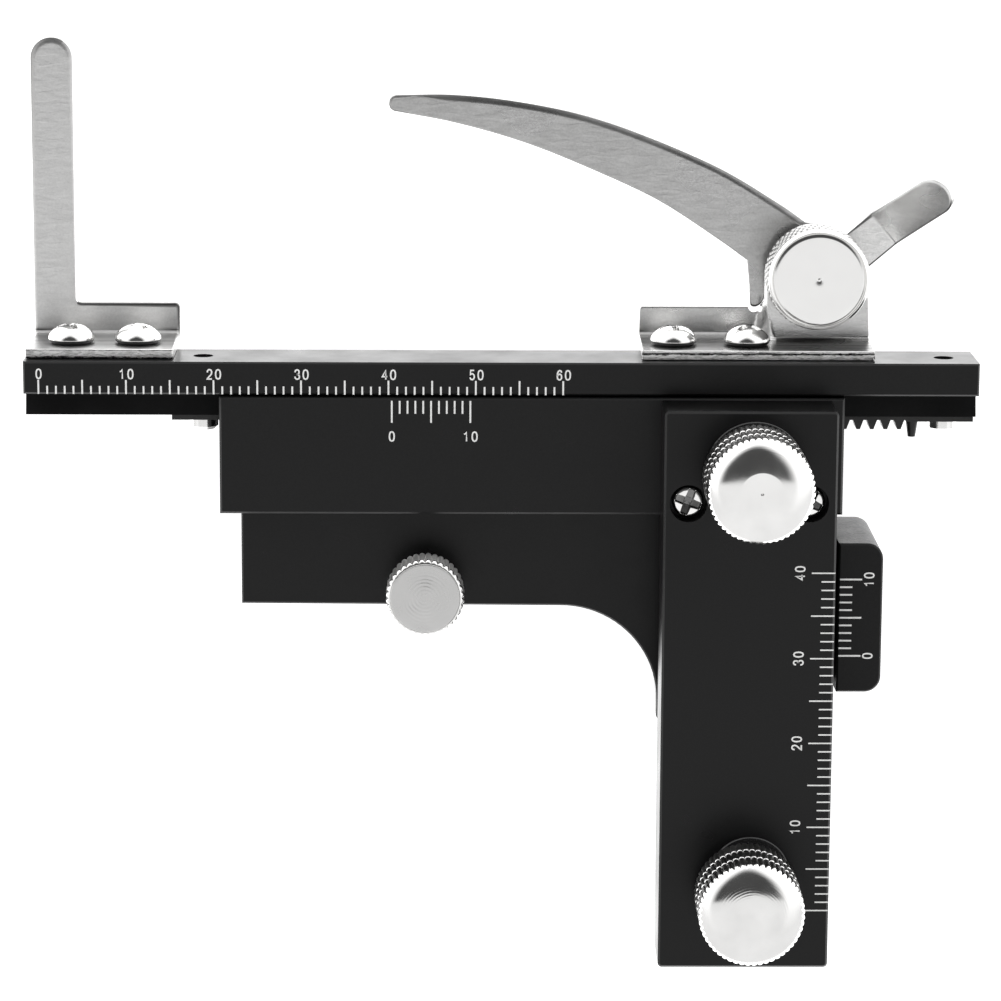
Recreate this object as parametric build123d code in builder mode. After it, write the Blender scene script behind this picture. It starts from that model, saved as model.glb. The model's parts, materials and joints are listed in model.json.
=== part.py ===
from build123d import *
import math
import os

# Mechanical microscope stage, lying flat. X is the slide's long direction, Y the cross
# direction, Z up from the surface of the microscope's own stage. Millimetres.
# The pieces are dimensioned from the beam datum: zero line of the X scale, root of its
# tick row, front face of the beam. The part's origin is the thumb screw's axis on the
# underside of the arm, so the datum stands at (OX, OY, OZ).
OX, OY, OZ = -44.25, 23.0, 14.7

# ---- driving dimensions -------------------------------------------------------------
BEAM_X0, BEAM_X1 = -1.75, 107.75
BEAM_Y0, BEAM_Y1 = -0.38, 3.38
BEAM_D = 9.0                                  # beam and body depth, front to back
TONGUE_Y = -3.2                               # bottom of the dovetail tongue
TONGUE_ROOT, TONGUE_TIP = 1.4, 2.0            # half widths about z = MID
MID = -4.5                                    # middle of the beam's depth
SLIDE_GAP = 0.06                              # clearance in both dovetails

BODY_X0, BODY_X1 = 20.6, 92.35
BODY_Y0, BODY_Y1 = -14.3, -0.65
CHANNEL_Y, CHANNEL_HW = -6.15, 1.9            # rack channel in the X body

YB_X0, YB_X1 = 71.3, 91.0                     # Y block
YB_Y0, YB_Y1 = -66.45, -0.9
YB_T = 7.4
YB_CH_TOP, YB_CH_END = 4.8, -14.6             # channel ceiling and its closed end
RAIL_X, RAIL_TOP_HW, RAIL_ROOT_HW = 81.1, 7.5, 6.6
RAIL_Z0, RAIL_Z1 = -0.5, 4.6

ARM_TOP, ARM_T = -2.7, 3.0                    # arm plate
ARM_X0, ARM_Y0, ARM_Y1 = 22.9, -25.5, -14.5
ARC_X, ARC_Y, ARC_R = 60.0, -37.0, 11.3
LEG_X0, LEG_X1, LEG_Y0 = 72.6, 89.6, -64.5
BASE_Z = -14.7

MODULE, TEETH = 0.5, 15
PITCH = math.pi * MODULE
PITCH_R = MODULE * TEETH / 2
BACKLASH = 0.05                               # taken off each tooth at the pitch line
KX1, KY1 = 81.5, -8.05                        # axis of the X knob
KX, KY2 = 81.3, -56.8                         # axis of the Y knob
X_PITCH_Y = KY1 + PITCH_R                     # pitch line of the X rack
Y_PITCH_X = KX - PITCH_R                      # pitch line of the Y rack
X_TIP0 = 98.95                                # a tooth of the X rack
X_NEAR = X_TIP0 - 11 * PITCH                  # its tooth nearest the X pinion's axis
X_PHASE = 90.0 + math.degrees((PITCH / 2 - (X_NEAR - KX1)) / PITCH_R)
SHAFT_R = 1.5

KNOB_R, KNOB_TOP, KNOB_CYL = 6.04, 19.3, 17.9
PIV_X, PIV_Y, PIV_R = 89.5, 12.45, 1.6
SHEET = 1.0
SHEET_Z = -13.5                               # top of the sheet that lies on the stage
RAISED_Z = -9.7                               # top of the raised plate
THUMB_X, THUMB_Y = 44.25, -23.0


def at_z(z):
    """Plane across Z at datum height z; sketch axes are X and Y."""
    return Plane(origin=(OX, OY, OZ + z))


def at_y(y):
    """Plane across Y at datum y; sketch axes are X and Z, extrudes towards -Y."""
    return Plane(origin=(OX, OY + y, OZ), x_dir=(1, 0, 0), z_dir=(0, -1, 0))


def at_x(x):
    """Plane across X at datum x; sketch axes are Y and Z, extrudes towards +X."""
    return Plane(origin=(OX + x, OY, OZ), x_dir=(0, 1, 0), z_dir=(1, 0, 0))


def axis_plane(x, y):
    """Vertical plane through a Z axis at (x, y); sketch axes are radius and Z."""
    return Plane(origin=(OX + x, OY + y, OZ), x_dir=(1, 0, 0), z_dir=(0, -1, 0))


def axis_at(x, y):
    return Axis((OX + x, OY + y, OZ), (0, 0, 1))


def dovetail(y_a, y_b, grow):
    """Beam tongue between two heights, grown by the slide's clearance: (y, z) corners."""
    slope = (TONGUE_TIP - TONGUE_ROOT) / (BEAM_Y0 - TONGUE_Y)
    h = lambda y: TONGUE_ROOT + (BEAM_Y0 - y) * slope + grow
    return [(y_a, MID - h(y_a)), (y_b, MID - h(y_b)), (y_b, MID + h(y_b)), (y_a, MID + h(y_a))]


def rail(z_a, z_b, grow):
    """Y rail between two heights, wider at the top: (x, z) corners."""
    slope = (RAIL_TOP_HW - RAIL_ROOT_HW) / (RAIL_Z1 - RAIL_Z0)
    h = lambda z: RAIL_ROOT_HW + (z - RAIL_Z0) * slope + grow
    return [(RAIL_X - h(z_a), z_a), (RAIL_X + h(z_a), z_a), (RAIL_X + h(z_b), z_b), (RAIL_X - h(z_b), z_b)]


def gear_outline(first_deg):
    """Corners of the involute pinion, one tooth centred on first_deg."""
    base_r = PITCH_R * math.cos(math.radians(20))
    tip_r, root_r = PITCH_R + MODULE, PITCH_R - 1.25 * MODULE
    half = (PITCH / 2 - BACKLASH) / 2 / PITCH_R
    inv = lambda a: math.tan(a) - a
    ang = lambda r: half + inv(math.radians(20)) - (inv(math.acos(base_r / r)) if r > base_r else 0.0)
    radii = [root_r, base_r, 3.66, 3.8, 3.95, 4.1, tip_r]
    pts = []
    for k in range(TEETH):
        mid = math.radians(first_deg) + 2 * math.pi * k / TEETH
        flank = [(r, ang(r)) for r in radii]
        pts += [(r * math.cos(mid - a), r * math.sin(mid - a)) for r, a in flank]
        pts += [(r * math.cos(mid + a), r * math.sin(mid + a)) for r, a in reversed(flank)]
    return pts


def rack_profile(start, end, first_tip, pitch_at, back_at, addendum=0.45, dedendum=0.62):
    """Rack as (along, across) corners; teeth point to smaller across values."""
    t = math.tan(math.radians(20))
    root, tip = pitch_at + dedendum, pitch_at - addendum
    w = (PITCH / 2 - BACKLASH) / 2
    wr, wt = w + dedendum * t, w - addendum * t
    pts = [(start, back_at), (start, root)]
    n0 = math.ceil((start + wr + 0.05 - first_tip) / PITCH)
    n1 = math.floor((end - wr - 0.05 - first_tip) / PITCH)
    for n in range(n0, n1 + 1):
        c = first_tip + n * PITCH
        pts += [(c - wr, root), (c - wt, tip), (c + wt, tip), (c + wr, root)]
    return pts + [(end, root), (end, back_at)]


parts = []


def keep(builder, name):
    builder.part.label = name
    parts.append((name, builder.part))


# ---- fixed side: arm, leg and rail in one casting -------------------------------------
with BuildPart() as base_bracket:
    # arm plate with the concave corner into the leg
    with BuildSketch(at_z(ARM_TOP - ARM_T)):
        with BuildLine():
            Polyline((ARM_X0, ARM_Y1), (ARM_X0, ARM_Y0), (ARC_X, ARM_Y0 - 0.2))
            RadiusArc((ARC_X, ARM_Y0 - 0.2), (ARC_X + ARC_R, ARC_Y), ARC_R)
            Polyline((ARC_X + ARC_R, ARC_Y), (ARC_X + ARC_R, -39.0), (LEG_X0, -41.0), (LEG_X0 + 4, -41.0),
                     (LEG_X0 + 4, ARM_Y1), (ARM_X0, ARM_Y1))
        make_face()
    extrude(amount=ARM_T)
    # foot of the arm round the clamp screw, full height to the underside
    with BuildSketch(at_z(BASE_Z)):
        with BuildLine():
            Polyline((ARM_X0, ARM_Y1), (ARM_X0, ARM_Y0), (ARC_X, ARM_Y0))
            RadiusArc((ARC_X, ARM_Y0), (ARC_X + ARC_R + 0.2, ARC_Y), ARC_R + 0.2)
            Polyline((ARC_X + ARC_R + 0.2, ARC_Y), (LEG_X0 + 0.1, -39.0), (LEG_X0 + 3, -39.0),
                     (LEG_X0 + 3, ARM_Y1), (ARM_X0, ARM_Y1))
        make_face()
    extrude(amount=ARM_TOP - ARM_T - BASE_Z + 0.5)
    # leg
    with BuildSketch(at_z(BASE_Z)):
        with Locations(((LEG_X0 + LEG_X1) / 2, (LEG_Y0 + ARM_Y1) / 2)):
            Rectangle(LEG_X1 - LEG_X0, ARM_Y1 - LEG_Y0)
    extrude(amount=RAIL_Z0 - BASE_Z)
    # dovetail rail of the Y slide
    with BuildSketch(at_y(-15.0)):
        Polygon(*rail(RAIL_Z0 - 0.3, RAIL_Z1, 0.0), align=None)
    extrude(amount=LEG_Y0 * -1 - 15.0)
    # slot for the Y rack and its pinion, open at the lower end
    with BuildSketch(at_z(-1.5)):
        with Locations(((76.2 + 85.8) / 2, (LEG_Y0 - 1 - 22.0) / 2)):
            Rectangle(85.8 - 76.2, 22.0 * -1 - LEG_Y0 + 1)
    extrude(amount=8, mode=Mode.SUBTRACT)
    # underside relieved between the two pads
    with BuildSketch(at_z(BASE_Z)):
        with Locations((64.0, -22.0)):
            Rectangle(9.0, 30.0)
    extrude(amount=1.0, mode=Mode.SUBTRACT)
    # clamp screw hole, rack screw holes, side holes for the vernier block
    with Locations(at_z(ARM_TOP)):
        with Locations((THUMB_X, THUMB_Y)):
            Hole(1.53)
    with BuildSketch(at_z(-1.5)):
        with Locations((KX, -61.5), (KX, -26.0)):
            Circle(0.82)
    extrude(amount=-6.0, mode=Mode.SUBTRACT)
    with BuildSketch(at_x(LEG_X1)):
        with Locations((-20.6, -6.2), (-30.4, -6.2)):
            Circle(1.02)
    extrude(amount=-6.0, mode=Mode.SUBTRACT)
    arm_edges = [e for e in base_bracket.edges() if abs(e.center().Z - (OZ + ARM_TOP)) < 1e-4
                 and e.center().X < OX + 71.5 and e.length > 5.2 and e.length < 60]
    chamfer(arm_edges, 0.2)
keep(base_bracket, "base_bracket")

with BuildPart() as y_vernier_block:
    with BuildSketch(at_z(-10.7)):
        with Locations(((91.6 + 96.7) / 2, (-16.7 - 34.2) / 2)):
            Rectangle(96.7 - 91.6, 34.2 - 16.7)
    extrude(amount=4.45 + 10.7)
    fillet(y_vernier_block.edges().filter_by(Axis.Z).group_by(Axis.X)[-1], 1.85)
    # foot that reaches under the Y block to the side of the leg
    with BuildSketch(at_z(-10.7)):
        with Locations(((LEG_X1 + 92.2) / 2, (-16.7 - 34.2) / 2)):
            Rectangle(92.2 - LEG_X1, 34.2 - 16.7)
    extrude(amount=-1.8 + 10.7)
    # counterbored holes from the outer side
    with BuildSketch(at_x(96.7)):
        with Locations((-20.6, -6.2), (-30.4, -6.2)):
            Circle(1.12)
    extrude(amount=-8.0, mode=Mode.SUBTRACT)
    with BuildSketch(at_x(96.7)):
        with Locations((-20.6, -6.2), (-30.4, -6.2)):
            Circle(2.0)
    extrude(amount=-2.0, mode=Mode.SUBTRACT)
    chamfer(y_vernier_block.faces().filter_by(Axis.Z).sort_by(Axis.Z)[-1].edges(), 0.2)
keep(y_vernier_block, "y_vernier_block")


def cross(width, size):
    Rectangle(size, width)
    Rectangle(width, size)


with BuildPart() as vernier_block_screws:
    with BuildSketch(at_x(94.72)):
        with Locations((-20.6, -6.2), (-30.4, -6.2)):
            Circle(1.85)
    extrude(amount=1.3)
    with BuildSketch(at_x(94.72)):
        with Locations((-20.6, -6.2), (-30.4, -6.2)):
            Circle(1.0)
    extrude(amount=-10.5)
    with BuildSketch(at_x(96.02)):
        with Locations((-20.6, -6.2), (-30.4, -6.2)):
            cross(0.45, 2.0)
    extrude(amount=-0.8, mode=Mode.SUBTRACT)
keep(vernier_block_screws, "vernier_block_screws")

# Y rack: a flat foot along the slot, with the toothed wall on its -X side
with BuildPart() as y_rack:
    with BuildSketch(at_z(-1.5)):
        with Locations(((76.24 + 85.7) / 2, (-64.3 - 22.3) / 2)):
            Rectangle(85.7 - 76.24, 64.3 - 22.3)
    extrude(amount=1.6)
    with BuildSketch(at_z(-1.5)):
        prof = rack_profile(22.3, 64.3, -KY2 + PITCH / 2, -Y_PITCH_X, -76.24)
        Polygon(*[(-b, -a) for a, b in prof], align=None)
    extrude(amount=1.5 + 4.1)
    with BuildSketch(at_z(0.1)):
        with Locations((KX, -61.5), (KX, -26.0)):
            Circle(0.9)
    extrude(amount=-3.0, mode=Mode.SUBTRACT)
    with BuildSketch(at_z(0.1)):
        with Locations((KX, -61.5), (KX, -26.0)):
            Circle(1.6)
    extrude(amount=-0.8, taper=45, mode=Mode.SUBTRACT)
keep(y_rack, "y_rack")

with BuildPart() as y_rack_screws:
    with BuildSketch(at_z(0.05)):
        with Locations((KX, -61.5), (KX, -26.0)):
            Circle(1.5)
    extrude(amount=-0.72, taper=45)
    with BuildSketch(at_z(0.0)):
        with Locations((KX, -61.5), (KX, -26.0)):
            Circle(0.78)
    extrude(amount=-6.5)
    with BuildSketch(at_z(0.05)):
        with Locations((KX, -61.5), (KX, -26.0)):
            Rectangle(0.35, 2.6)
    extrude(amount=-0.4, mode=Mode.SUBTRACT)
keep(y_rack_screws, "y_rack_screws")

# ---- thumb screw and its captive washer ------------------------------------------------
HEAD_Z0, HEAD_Z1 = 1.1, 5.5
with BuildPart() as thumb_screw:
    with BuildSketch(axis_plane(THUMB_X, THUMB_Y)):
        with BuildLine():
            Polyline((0, HEAD_Z1), (4.17, HEAD_Z1), (4.48, HEAD_Z1 - 0.3), (4.48, HEAD_Z0 + 0.3), (4.2, HEAD_Z0),
                     (2.2, HEAD_Z0), (2.2, HEAD_Z0 - 0.68), (1.5, HEAD_Z0 - 0.68), (1.5, BASE_Z + 0.6),
                     (1.1, BASE_Z + 0.2), (0, BASE_Z + 0.2), (0, HEAD_Z1))
        make_face()
    revolve(axis=axis_at(THUMB_X, THUMB_Y))
keep(thumb_screw, "thumb_screw")

with BuildPart() as thumb_screw_washer:
    with BuildSketch(at_z(HEAD_Z0 - 0.7)):
        with Locations((THUMB_X, THUMB_Y)):
            Circle(3.4)
            Circle(2.25, mode=Mode.SUBTRACT)
    extrude(amount=0.62)
keep(thumb_screw_washer, "thumb_screw_washer")

# ---- Y carriage ------------------------------------------------------------------------
SCREW_XY = ((74.1, -11.5), (87.9, -11.5))
with BuildPart() as y_block:
    with BuildSketch(at_z(0)):
        with Locations(((YB_X0 + YB_X1) / 2, (YB_Y0 + YB_Y1) / 2)):
            RectangleRounded(YB_X1 - YB_X0, YB_Y1 - YB_Y0, 0.5)
    extrude(amount=YB_T)
    chamfer(y_block.faces().sort_by(Axis.Z)[-1].edges(), 0.25)
    # dovetail channel over the rail
    with BuildSketch(at_y(YB_CH_END)):
        Polygon(*rail(-0.2, YB_CH_TOP, SLIDE_GAP), align=None)
    extrude(amount=60, mode=Mode.SUBTRACT)
    # bush bores
    with BuildSketch(at_z(YB_T)):
        with Locations((KX1, KY1), (KX, KY2)):
            Circle(2.62)
    extrude(amount=-10, mode=Mode.SUBTRACT)
    # counterbored screw holes
    with BuildSketch(at_z(YB_T)):
        with Locations(*SCREW_XY):
            Circle(1.12)
    extrude(amount=-10, mode=Mode.SUBTRACT)
    with BuildSketch(at_z(YB_T)):
        with Locations(*SCREW_XY):
            Circle(2.15)
    extrude(amount=-2.7, mode=Mode.SUBTRACT)
keep(y_block, "y_block")

with BuildPart() as x_body:
    with BuildSketch(at_x(BODY_X0)):
        with Locations(((BODY_Y0 + BODY_Y1) / 2, -BEAM_D / 2)):
            Rectangle(BODY_Y1 - BODY_Y0, BEAM_D)
    extrude(amount=BODY_X1 - BODY_X0)
    chamfer(x_body.faces().sort_by(Axis.Z)[-1].edges(), 0.25)
    # dovetail groove and rack channel
    with BuildSketch(at_x(BODY_X0)):
        Polygon(*dovetail(BODY_Y1 + 0.3, TONGUE_Y - SLIDE_GAP, SLIDE_GAP), align=None)
    extrude(amount=BODY_X1 - BODY_X0, mode=Mode.SUBTRACT)
    with BuildSketch(at_x(BODY_X0)):
        with Locations(((TONGUE_Y + CHANNEL_Y) / 2, MID)):
            Rectangle(TONGUE_Y - CHANNEL_Y, 2 * CHANNEL_HW)
    extrude(amount=BODY_X1 - BODY_X0, mode=Mode.SUBTRACT)
    # pinion pocket and lower shaft bearing
    with BuildSketch(at_z(0)):
        with Locations((KX1, KY1)):
            Circle(4.6)
    extrude(amount=-6.5, mode=Mode.SUBTRACT)
    with BuildSketch(at_z(0)):
        with Locations((KX1, KY1)):
            Circle(SHAFT_R + 0.03)
    extrude(amount=-10, mode=Mode.SUBTRACT)
    # tapped holes for the carriage screws
    with BuildSketch(at_z(0)):
        with Locations(*SCREW_XY):
            Circle(1.02)
    extrude(amount=-6.5, mode=Mode.SUBTRACT)
keep(x_body, "x_body")

with BuildPart() as carriage_screws:
    with BuildSketch(at_z(4.7)):
        with Locations(*SCREW_XY):
            Circle(1.65)
    extrude(amount=1.7)
    chamfer(carriage_screws.faces().sort_by(Axis.Z)[-2:].edges(), 0.25)
    with BuildSketch(at_z(4.7)):
        with Locations(*SCREW_XY):
            Circle(1.0)
    extrude(amount=-10.5)
    with BuildSketch(at_z(6.4)):
        with Locations(*SCREW_XY):
            cross(0.42, 2.0)
    extrude(amount=-0.9, mode=Mode.SUBTRACT)
keep(carriage_screws, "carriage_screws")

# bushes of the pinion shafts; their flanges sit off the shaft's axis, to set the mesh
for name, kx, ky, z_low, off_x, off_y, flange_r in (
        ("x_shaft_bush", KX1, KY1, 0.15, 0.1, 0.45, 5.6), ("y_shaft_bush", KX, KY2, 4.85, 0.5, 1.55, 4.6)):
    with BuildPart() as bush:
        with BuildSketch(at_z(z_low)):
            with Locations((kx, ky)):
                Circle(2.6)
        extrude(amount=YB_T - z_low)
        with BuildSketch(at_z(YB_T)):
            with Locations((kx + off_x, ky + off_y)):
                Circle(flange_r)
        extrude(amount=0.35)
        chamfer(bush.edges().group_by(Axis.Z)[-1], 0.1)
        with BuildSketch(at_z(z_low)):
            with Locations((kx, ky)):
                Circle(SHAFT_R + 0.03)
        extrude(amount=12, mode=Mode.SUBTRACT)
    keep(bush, name)

# ---- X and Y drives: knob, pinion shaft, set screw --------------------------------------
SET_Z = 11.4
for name, kx, ky, z_skirt in (("x_knob", KX1, KY1, 9.0), ("y_knob", KX, KY2, 9.3)):
    with BuildPart() as knob:
        with BuildSketch(axis_plane(kx, ky)):
            with BuildLine():
                l1 = Polyline((SHAFT_R + 0.02, YB_T + 0.45), (3.5, YB_T + 0.45), (3.5, z_skirt), (5.75, z_skirt),
                              (KNOB_R, z_skirt + 0.3), (KNOB_R, KNOB_CYL))
                l2 = ThreePointArc((KNOB_R, KNOB_CYL), (4.75, KNOB_TOP - 0.55), (2.33, KNOB_TOP))
                Polyline((2.33, KNOB_TOP), (0.35, KNOB_TOP), (0, KNOB_TOP - 0.25), (0, 17.0),
                         (SHAFT_R + 0.02, 17.0), (SHAFT_R + 0.02, YB_T + 0.45))
            make_face()
        revolve(axis=axis_at(kx, ky))
        # tapped set screw hole on the side away from the beam
        with BuildSketch(at_y(ky).offset(1.0)):
            with Locations((kx, SET_Z)):
                Circle(1.02)
        extrude(amount=8, mode=Mode.SUBTRACT)
    keep(knob, name)

for name, kx, ky, z0, z1, top, low, phase in (
        ("x_pinion_shaft", KX1, KY1, -6.1, -2.9, 0.05, -8.7, X_PHASE),
        ("y_pinion_shaft", KX, KY2, 0.3, 4.0, 4.75, 0.3, 180.0)):
    with BuildPart() as shaft:
        with BuildSketch(at_z(z0)):
            with Locations((kx, ky)):
                Polygon(*gear_outline(phase), align=None)
        extrude(amount=z1 - z0)
        with BuildSketch(at_z(z1)):
            with Locations((kx, ky)):
                Circle(2.2)
        extrude(amount=top - z1)
        with BuildSketch(at_z(low)):
            with Locations((kx, ky)):
                Circle(SHAFT_R)
        extrude(amount=16.9 - low)
    keep(shaft, name)

for name, kx, ky in (("x_knob_set_screw", KX1, KY1), ("y_knob_set_screw", KX, KY2)):
    with BuildPart() as grub:
        with BuildSketch(at_y(ky).offset(SHAFT_R + 0.02)):
            with Locations((kx, SET_Z)):
                Circle(1.0)
        extrude(amount=3.6)
        with BuildSketch(at_y(ky).offset(SHAFT_R + 3.62)):
            with Locations((kx, SET_Z)):
                RegularPolygon(0.5, 6)
        extrude(amount=-1.4, mode=Mode.SUBTRACT)
    keep(grub, name)

# ---- X slide -----------------------------------------------------------------------------
RACK_SCREW_X = (18.6, 104.1)
STOP_X = (21.9, 100.6)
BRACKET_SCREW_X = (3.1, 11.07, 72.9, 81.4)
SCREW_Z = -6.9
with BuildPart() as x_beam:
    with BuildSketch(at_x(BEAM_X0)):
        with Locations(((BEAM_Y0 + BEAM_Y1) / 2, -BEAM_D / 2)):
            Rectangle(BEAM_Y1 - BEAM_Y0, BEAM_D)
    extrude(amount=BEAM_X1 - BEAM_X0)
    chamfer(x_beam.faces().sort_by(Axis.Z)[-1].edges(), 0.2)
    with BuildSketch(at_x(BEAM_X0)):
        Polygon(*dovetail(BEAM_Y0 + 0.1, TONGUE_Y, 0.0), align=None)
    extrude(amount=BEAM_X1 - BEAM_X0)
    # rack screw holes right through, stop pin and bracket screw holes blind
    with BuildSketch(at_y(BEAM_Y1)):
        with Locations(*[(x, MID) for x in RACK_SCREW_X]):
            Circle(1.02)
    extrude(amount=10, mode=Mode.SUBTRACT)
    with BuildSketch(at_y(BEAM_Y1)):
        with Locations(*[(x, MID) for x in RACK_SCREW_X]):
            Circle(1.15)
    extrude(amount=1.6, mode=Mode.SUBTRACT)
    with BuildSketch(at_y(TONGUE_Y)):
        with Locations(*[(x, MID) for x in STOP_X]):
            Circle(0.71)
    extrude(amount=-3.6, mode=Mode.SUBTRACT)
    with BuildSketch(at_y(BEAM_Y1)):
        with Locations(*[(x, SCREW_Z) for x in BRACKET_SCREW_X]):
            Circle(1.27)
    extrude(amount=3.1, mode=Mode.SUBTRACT)
keep(x_beam, "x_beam")

with BuildPart() as x_rack:
    with BuildSketch(at_z(MID - 1.6)):
        Polygon(*rack_profile(22.75, 99.75, X_TIP0, X_PITCH_Y, TONGUE_Y), align=None)
    extrude(amount=3.2)
    with BuildSketch(at_z(MID - 1.6)):
        with Locations(((15.0 + 22.75) / 2, (-3.85 + TONGUE_Y) / 2)):
            Rectangle(22.75 - 15.0, 3.85 + TONGUE_Y)
        with Locations(((99.75 + 107.5) / 2, (-3.85 + TONGUE_Y) / 2)):
            Rectangle(107.5 - 99.75, 3.85 + TONGUE_Y)
    extrude(amount=3.2)
    with BuildSketch(at_y(TONGUE_Y)):
        with Locations(*[(x, MID) for x in RACK_SCREW_X]):
            Circle(1.05)
        with Locations(*[(x, MID) for x in STOP_X]):
            Circle(0.71)
    extrude(amount=2, mode=Mode.SUBTRACT)
keep(x_rack, "x_rack")

with BuildPart() as x_rack_screws:
    with BuildSketch(at_y(-3.85)):
        with Locations(*[(x, MID) for x in RACK_SCREW_X]):
            Circle(1.65)
    extrude(amount=1.2)
    chamfer(x_rack_screws.faces().filter_by(Axis.Y).group_by(Axis.Y)[0].edges(), 0.35)
    with BuildSketch(at_y(-3.85)):
        with Locations(*[(x, MID) for x in RACK_SCREW_X]):
            Circle(1.0)
    extrude(amount=-5.3)
    with BuildSketch(at_y(-5.05)):
        with Locations(*[(x, MID) for x in RACK_SCREW_X]):
            cross(0.4, 1.9)
    extrude(amount=-0.7, mode=Mode.SUBTRACT)
keep(x_rack_screws, "x_rack_screws")

with BuildPart() as rack_stop_pins:
    with BuildSketch(at_y(0.3)):
        with Locations(*[(x, MID) for x in STOP_X]):
            Circle(0.7)
    extrude(amount=4.3)
    with BuildSketch(at_y(-4.0)):
        with Locations(*[(x, MID) for x in STOP_X]):
            Circle(0.7)
    extrude(amount=1.85, taper=8)
keep(rack_stop_pins, "rack_stop_pins")

# fixed finger: one bent sheet, flange on the beam and plate on the stage
FLANGE_Z1 = -2.0
with BuildPart() as fixed_finger_bracket:
    with BuildSketch(at_x(-1.5)) as l_section:
        with BuildLine():
            Polyline((BEAM_Y1, FLANGE_Z1), (BEAM_Y1, SHEET_Z - SHEET), (8.08, SHEET_Z - SHEET), (8.08, SHEET_Z),
                     (BEAM_Y1 + SHEET, SHEET_Z), (BEAM_Y1 + SHEET, FLANGE_Z1), (BEAM_Y1, FLANGE_Z1))
        make_face()
        fillet(l_section.vertices().filter_by(lambda v: abs(v.Y - OY - BEAM_Y1) < 1e-3
                                              and abs(v.Z - OZ - SHEET_Z + SHEET) < 1e-3), 1.7)
        fillet(l_section.vertices().filter_by(lambda v: abs(v.Y - OY - BEAM_Y1 - SHEET) < 1e-3
                                              and abs(v.Z - OZ - SHEET_Z) < 1e-3), 0.7)
    extrude(amount=16.8)
    with BuildSketch(at_z(SHEET_Z - SHEET)) as finger_plan:
        with Locations(((-1.62 + 15.3) / 2, (5.6 + 8.08) / 2)):
            Rectangle(15.3 + 1.62, 8.08 - 5.6)
        with Locations(((-1.62 + 3.18) / 2, (7.0 + 36.7) / 2)):
            Rectangle(4.8, 36.7 - 7.0)
        with Locations((0.78, 36.7)):
            Circle(2.4)
    extrude(amount=SHEET)
    inner = [e for e in fixed_finger_bracket.edges().filter_by(Axis.Z)
             if abs(e.center().X - OX - 3.18) < 0.05 and abs(e.center().Y - OY - 8.08) < 0.05]
    fillet(inner, 0.6)
    with BuildSketch(at_y(BEAM_Y1 + SHEET)):
        with Locations(*[(x, SCREW_Z) for x in BRACKET_SCREW_X[:2]]):
            Circle(1.35)
    extrude(amount=SHEET, mode=Mode.SUBTRACT)
    flange_corners = [e for e in fixed_finger_bracket.edges().filter_by(Axis.Y)
                      if abs(e.center().Z - OZ - FLANGE_Z1) < 0.05]
    fillet(flange_corners, 0.8)
keep(fixed_finger_bracket, "fixed_finger_bracket")

# pivot bracket: flange, low plate, slanted step and raised plate
STEP = [(82.0, SHEET_Z), (84.4, RAISED_Z)]
with BuildPart() as pivot_bracket:
    with BuildSketch(at_y(BEAM_Y1 + SHEET)):
        with BuildLine():
            Polyline((69.0, FLANGE_Z1), (69.0, SHEET_Z - SHEET), (82.6, SHEET_Z - SHEET), (85.0, RAISED_Z - SHEET),
                     (96.0, RAISED_Z - SHEET), (96.0, FLANGE_Z1), (69.0, FLANGE_Z1))
        make_face()
    extrude(amount=SHEET)
    corners = [e for e in pivot_bracket.edges().filter_by(Axis.Y) if abs(e.center().Z - OZ - FLANGE_Z1) < 0.05]
    fillet(corners, 0.8)
    with BuildSketch(at_y(BEAM_Y1)):
        Polygon((69.06, SHEET_Z - SHEET), (82.6, SHEET_Z - SHEET), (85.0, RAISED_Z - SHEET), (95.7, RAISED_Z - SHEET),
                (95.7, RAISED_Z), (84.4, RAISED_Z), (82.0, SHEET_Z), (69.06, SHEET_Z), align=None)
    extrude(amount=-4.2)
    with BuildSketch(at_z(SHEET_Z - SHEET)):
        with Locations(((69.06 + 82.05) / 2, (7.0 + 8.1) / 2)):
            Rectangle(82.05 - 69.06, 8.1 - 7.0)
    extrude(amount=SHEET)
    with BuildSketch(at_z(RAISED_Z - SHEET)):
        Polygon((85.1, 7.0), (95.7, 7.0), (95.7, 8.3), (94.4, 12.45), (84.6, 12.45), align=None)
        with Locations((PIV_X, PIV_Y)):
            Circle(4.9)
    extrude(amount=SHEET)
    with BuildSketch(at_z(RAISED_Z)):
        with Locations((PIV_X, PIV_Y)):
            Circle(PIV_R + 0.01)
    extrude(amount=-3, mode=Mode.SUBTRACT)
    with BuildSketch(at_y(BEAM_Y1 + SHEET)):
        with Locations(*[(x, SCREW_Z) for x in BRACKET_SCREW_X[2:]]):
            Circle(1.35)
    extrude(amount=SHEET, mode=Mode.SUBTRACT)
keep(pivot_bracket, "pivot_bracket")

with BuildPart() as bracket_screws:
    for x in BRACKET_SCREW_X:
        with BuildSketch(Plane(origin=(OX + x, OY + BEAM_Y1 + SHEET, OZ + SCREW_Z), x_dir=(1, 0, 0), z_dir=(0, 0, 1))):
            with BuildLine():
                Polyline((0, -4.0), (1.25, -4.0), (1.25, 0.0), (2.6, 0.0), (2.6, 0.55))
                ThreePointArc((2.6, 0.55), (1.75, 1.62), (0, 2.1))
                Line((0, 2.1), (0, -4.0))
            make_face()
        revolve(axis=Axis((OX + x, OY, OZ + SCREW_Z), (0, 1, 0)))
    with BuildSketch(at_y(BEAM_Y1 + SHEET + 2.2)):
        with Locations(*[(x, SCREW_Z) for x in BRACKET_SCREW_X]):
            cross(0.55, 2.7)
    extrude(amount=1.3, mode=Mode.SUBTRACT)
keep(bracket_screws, "bracket_screws")

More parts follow.
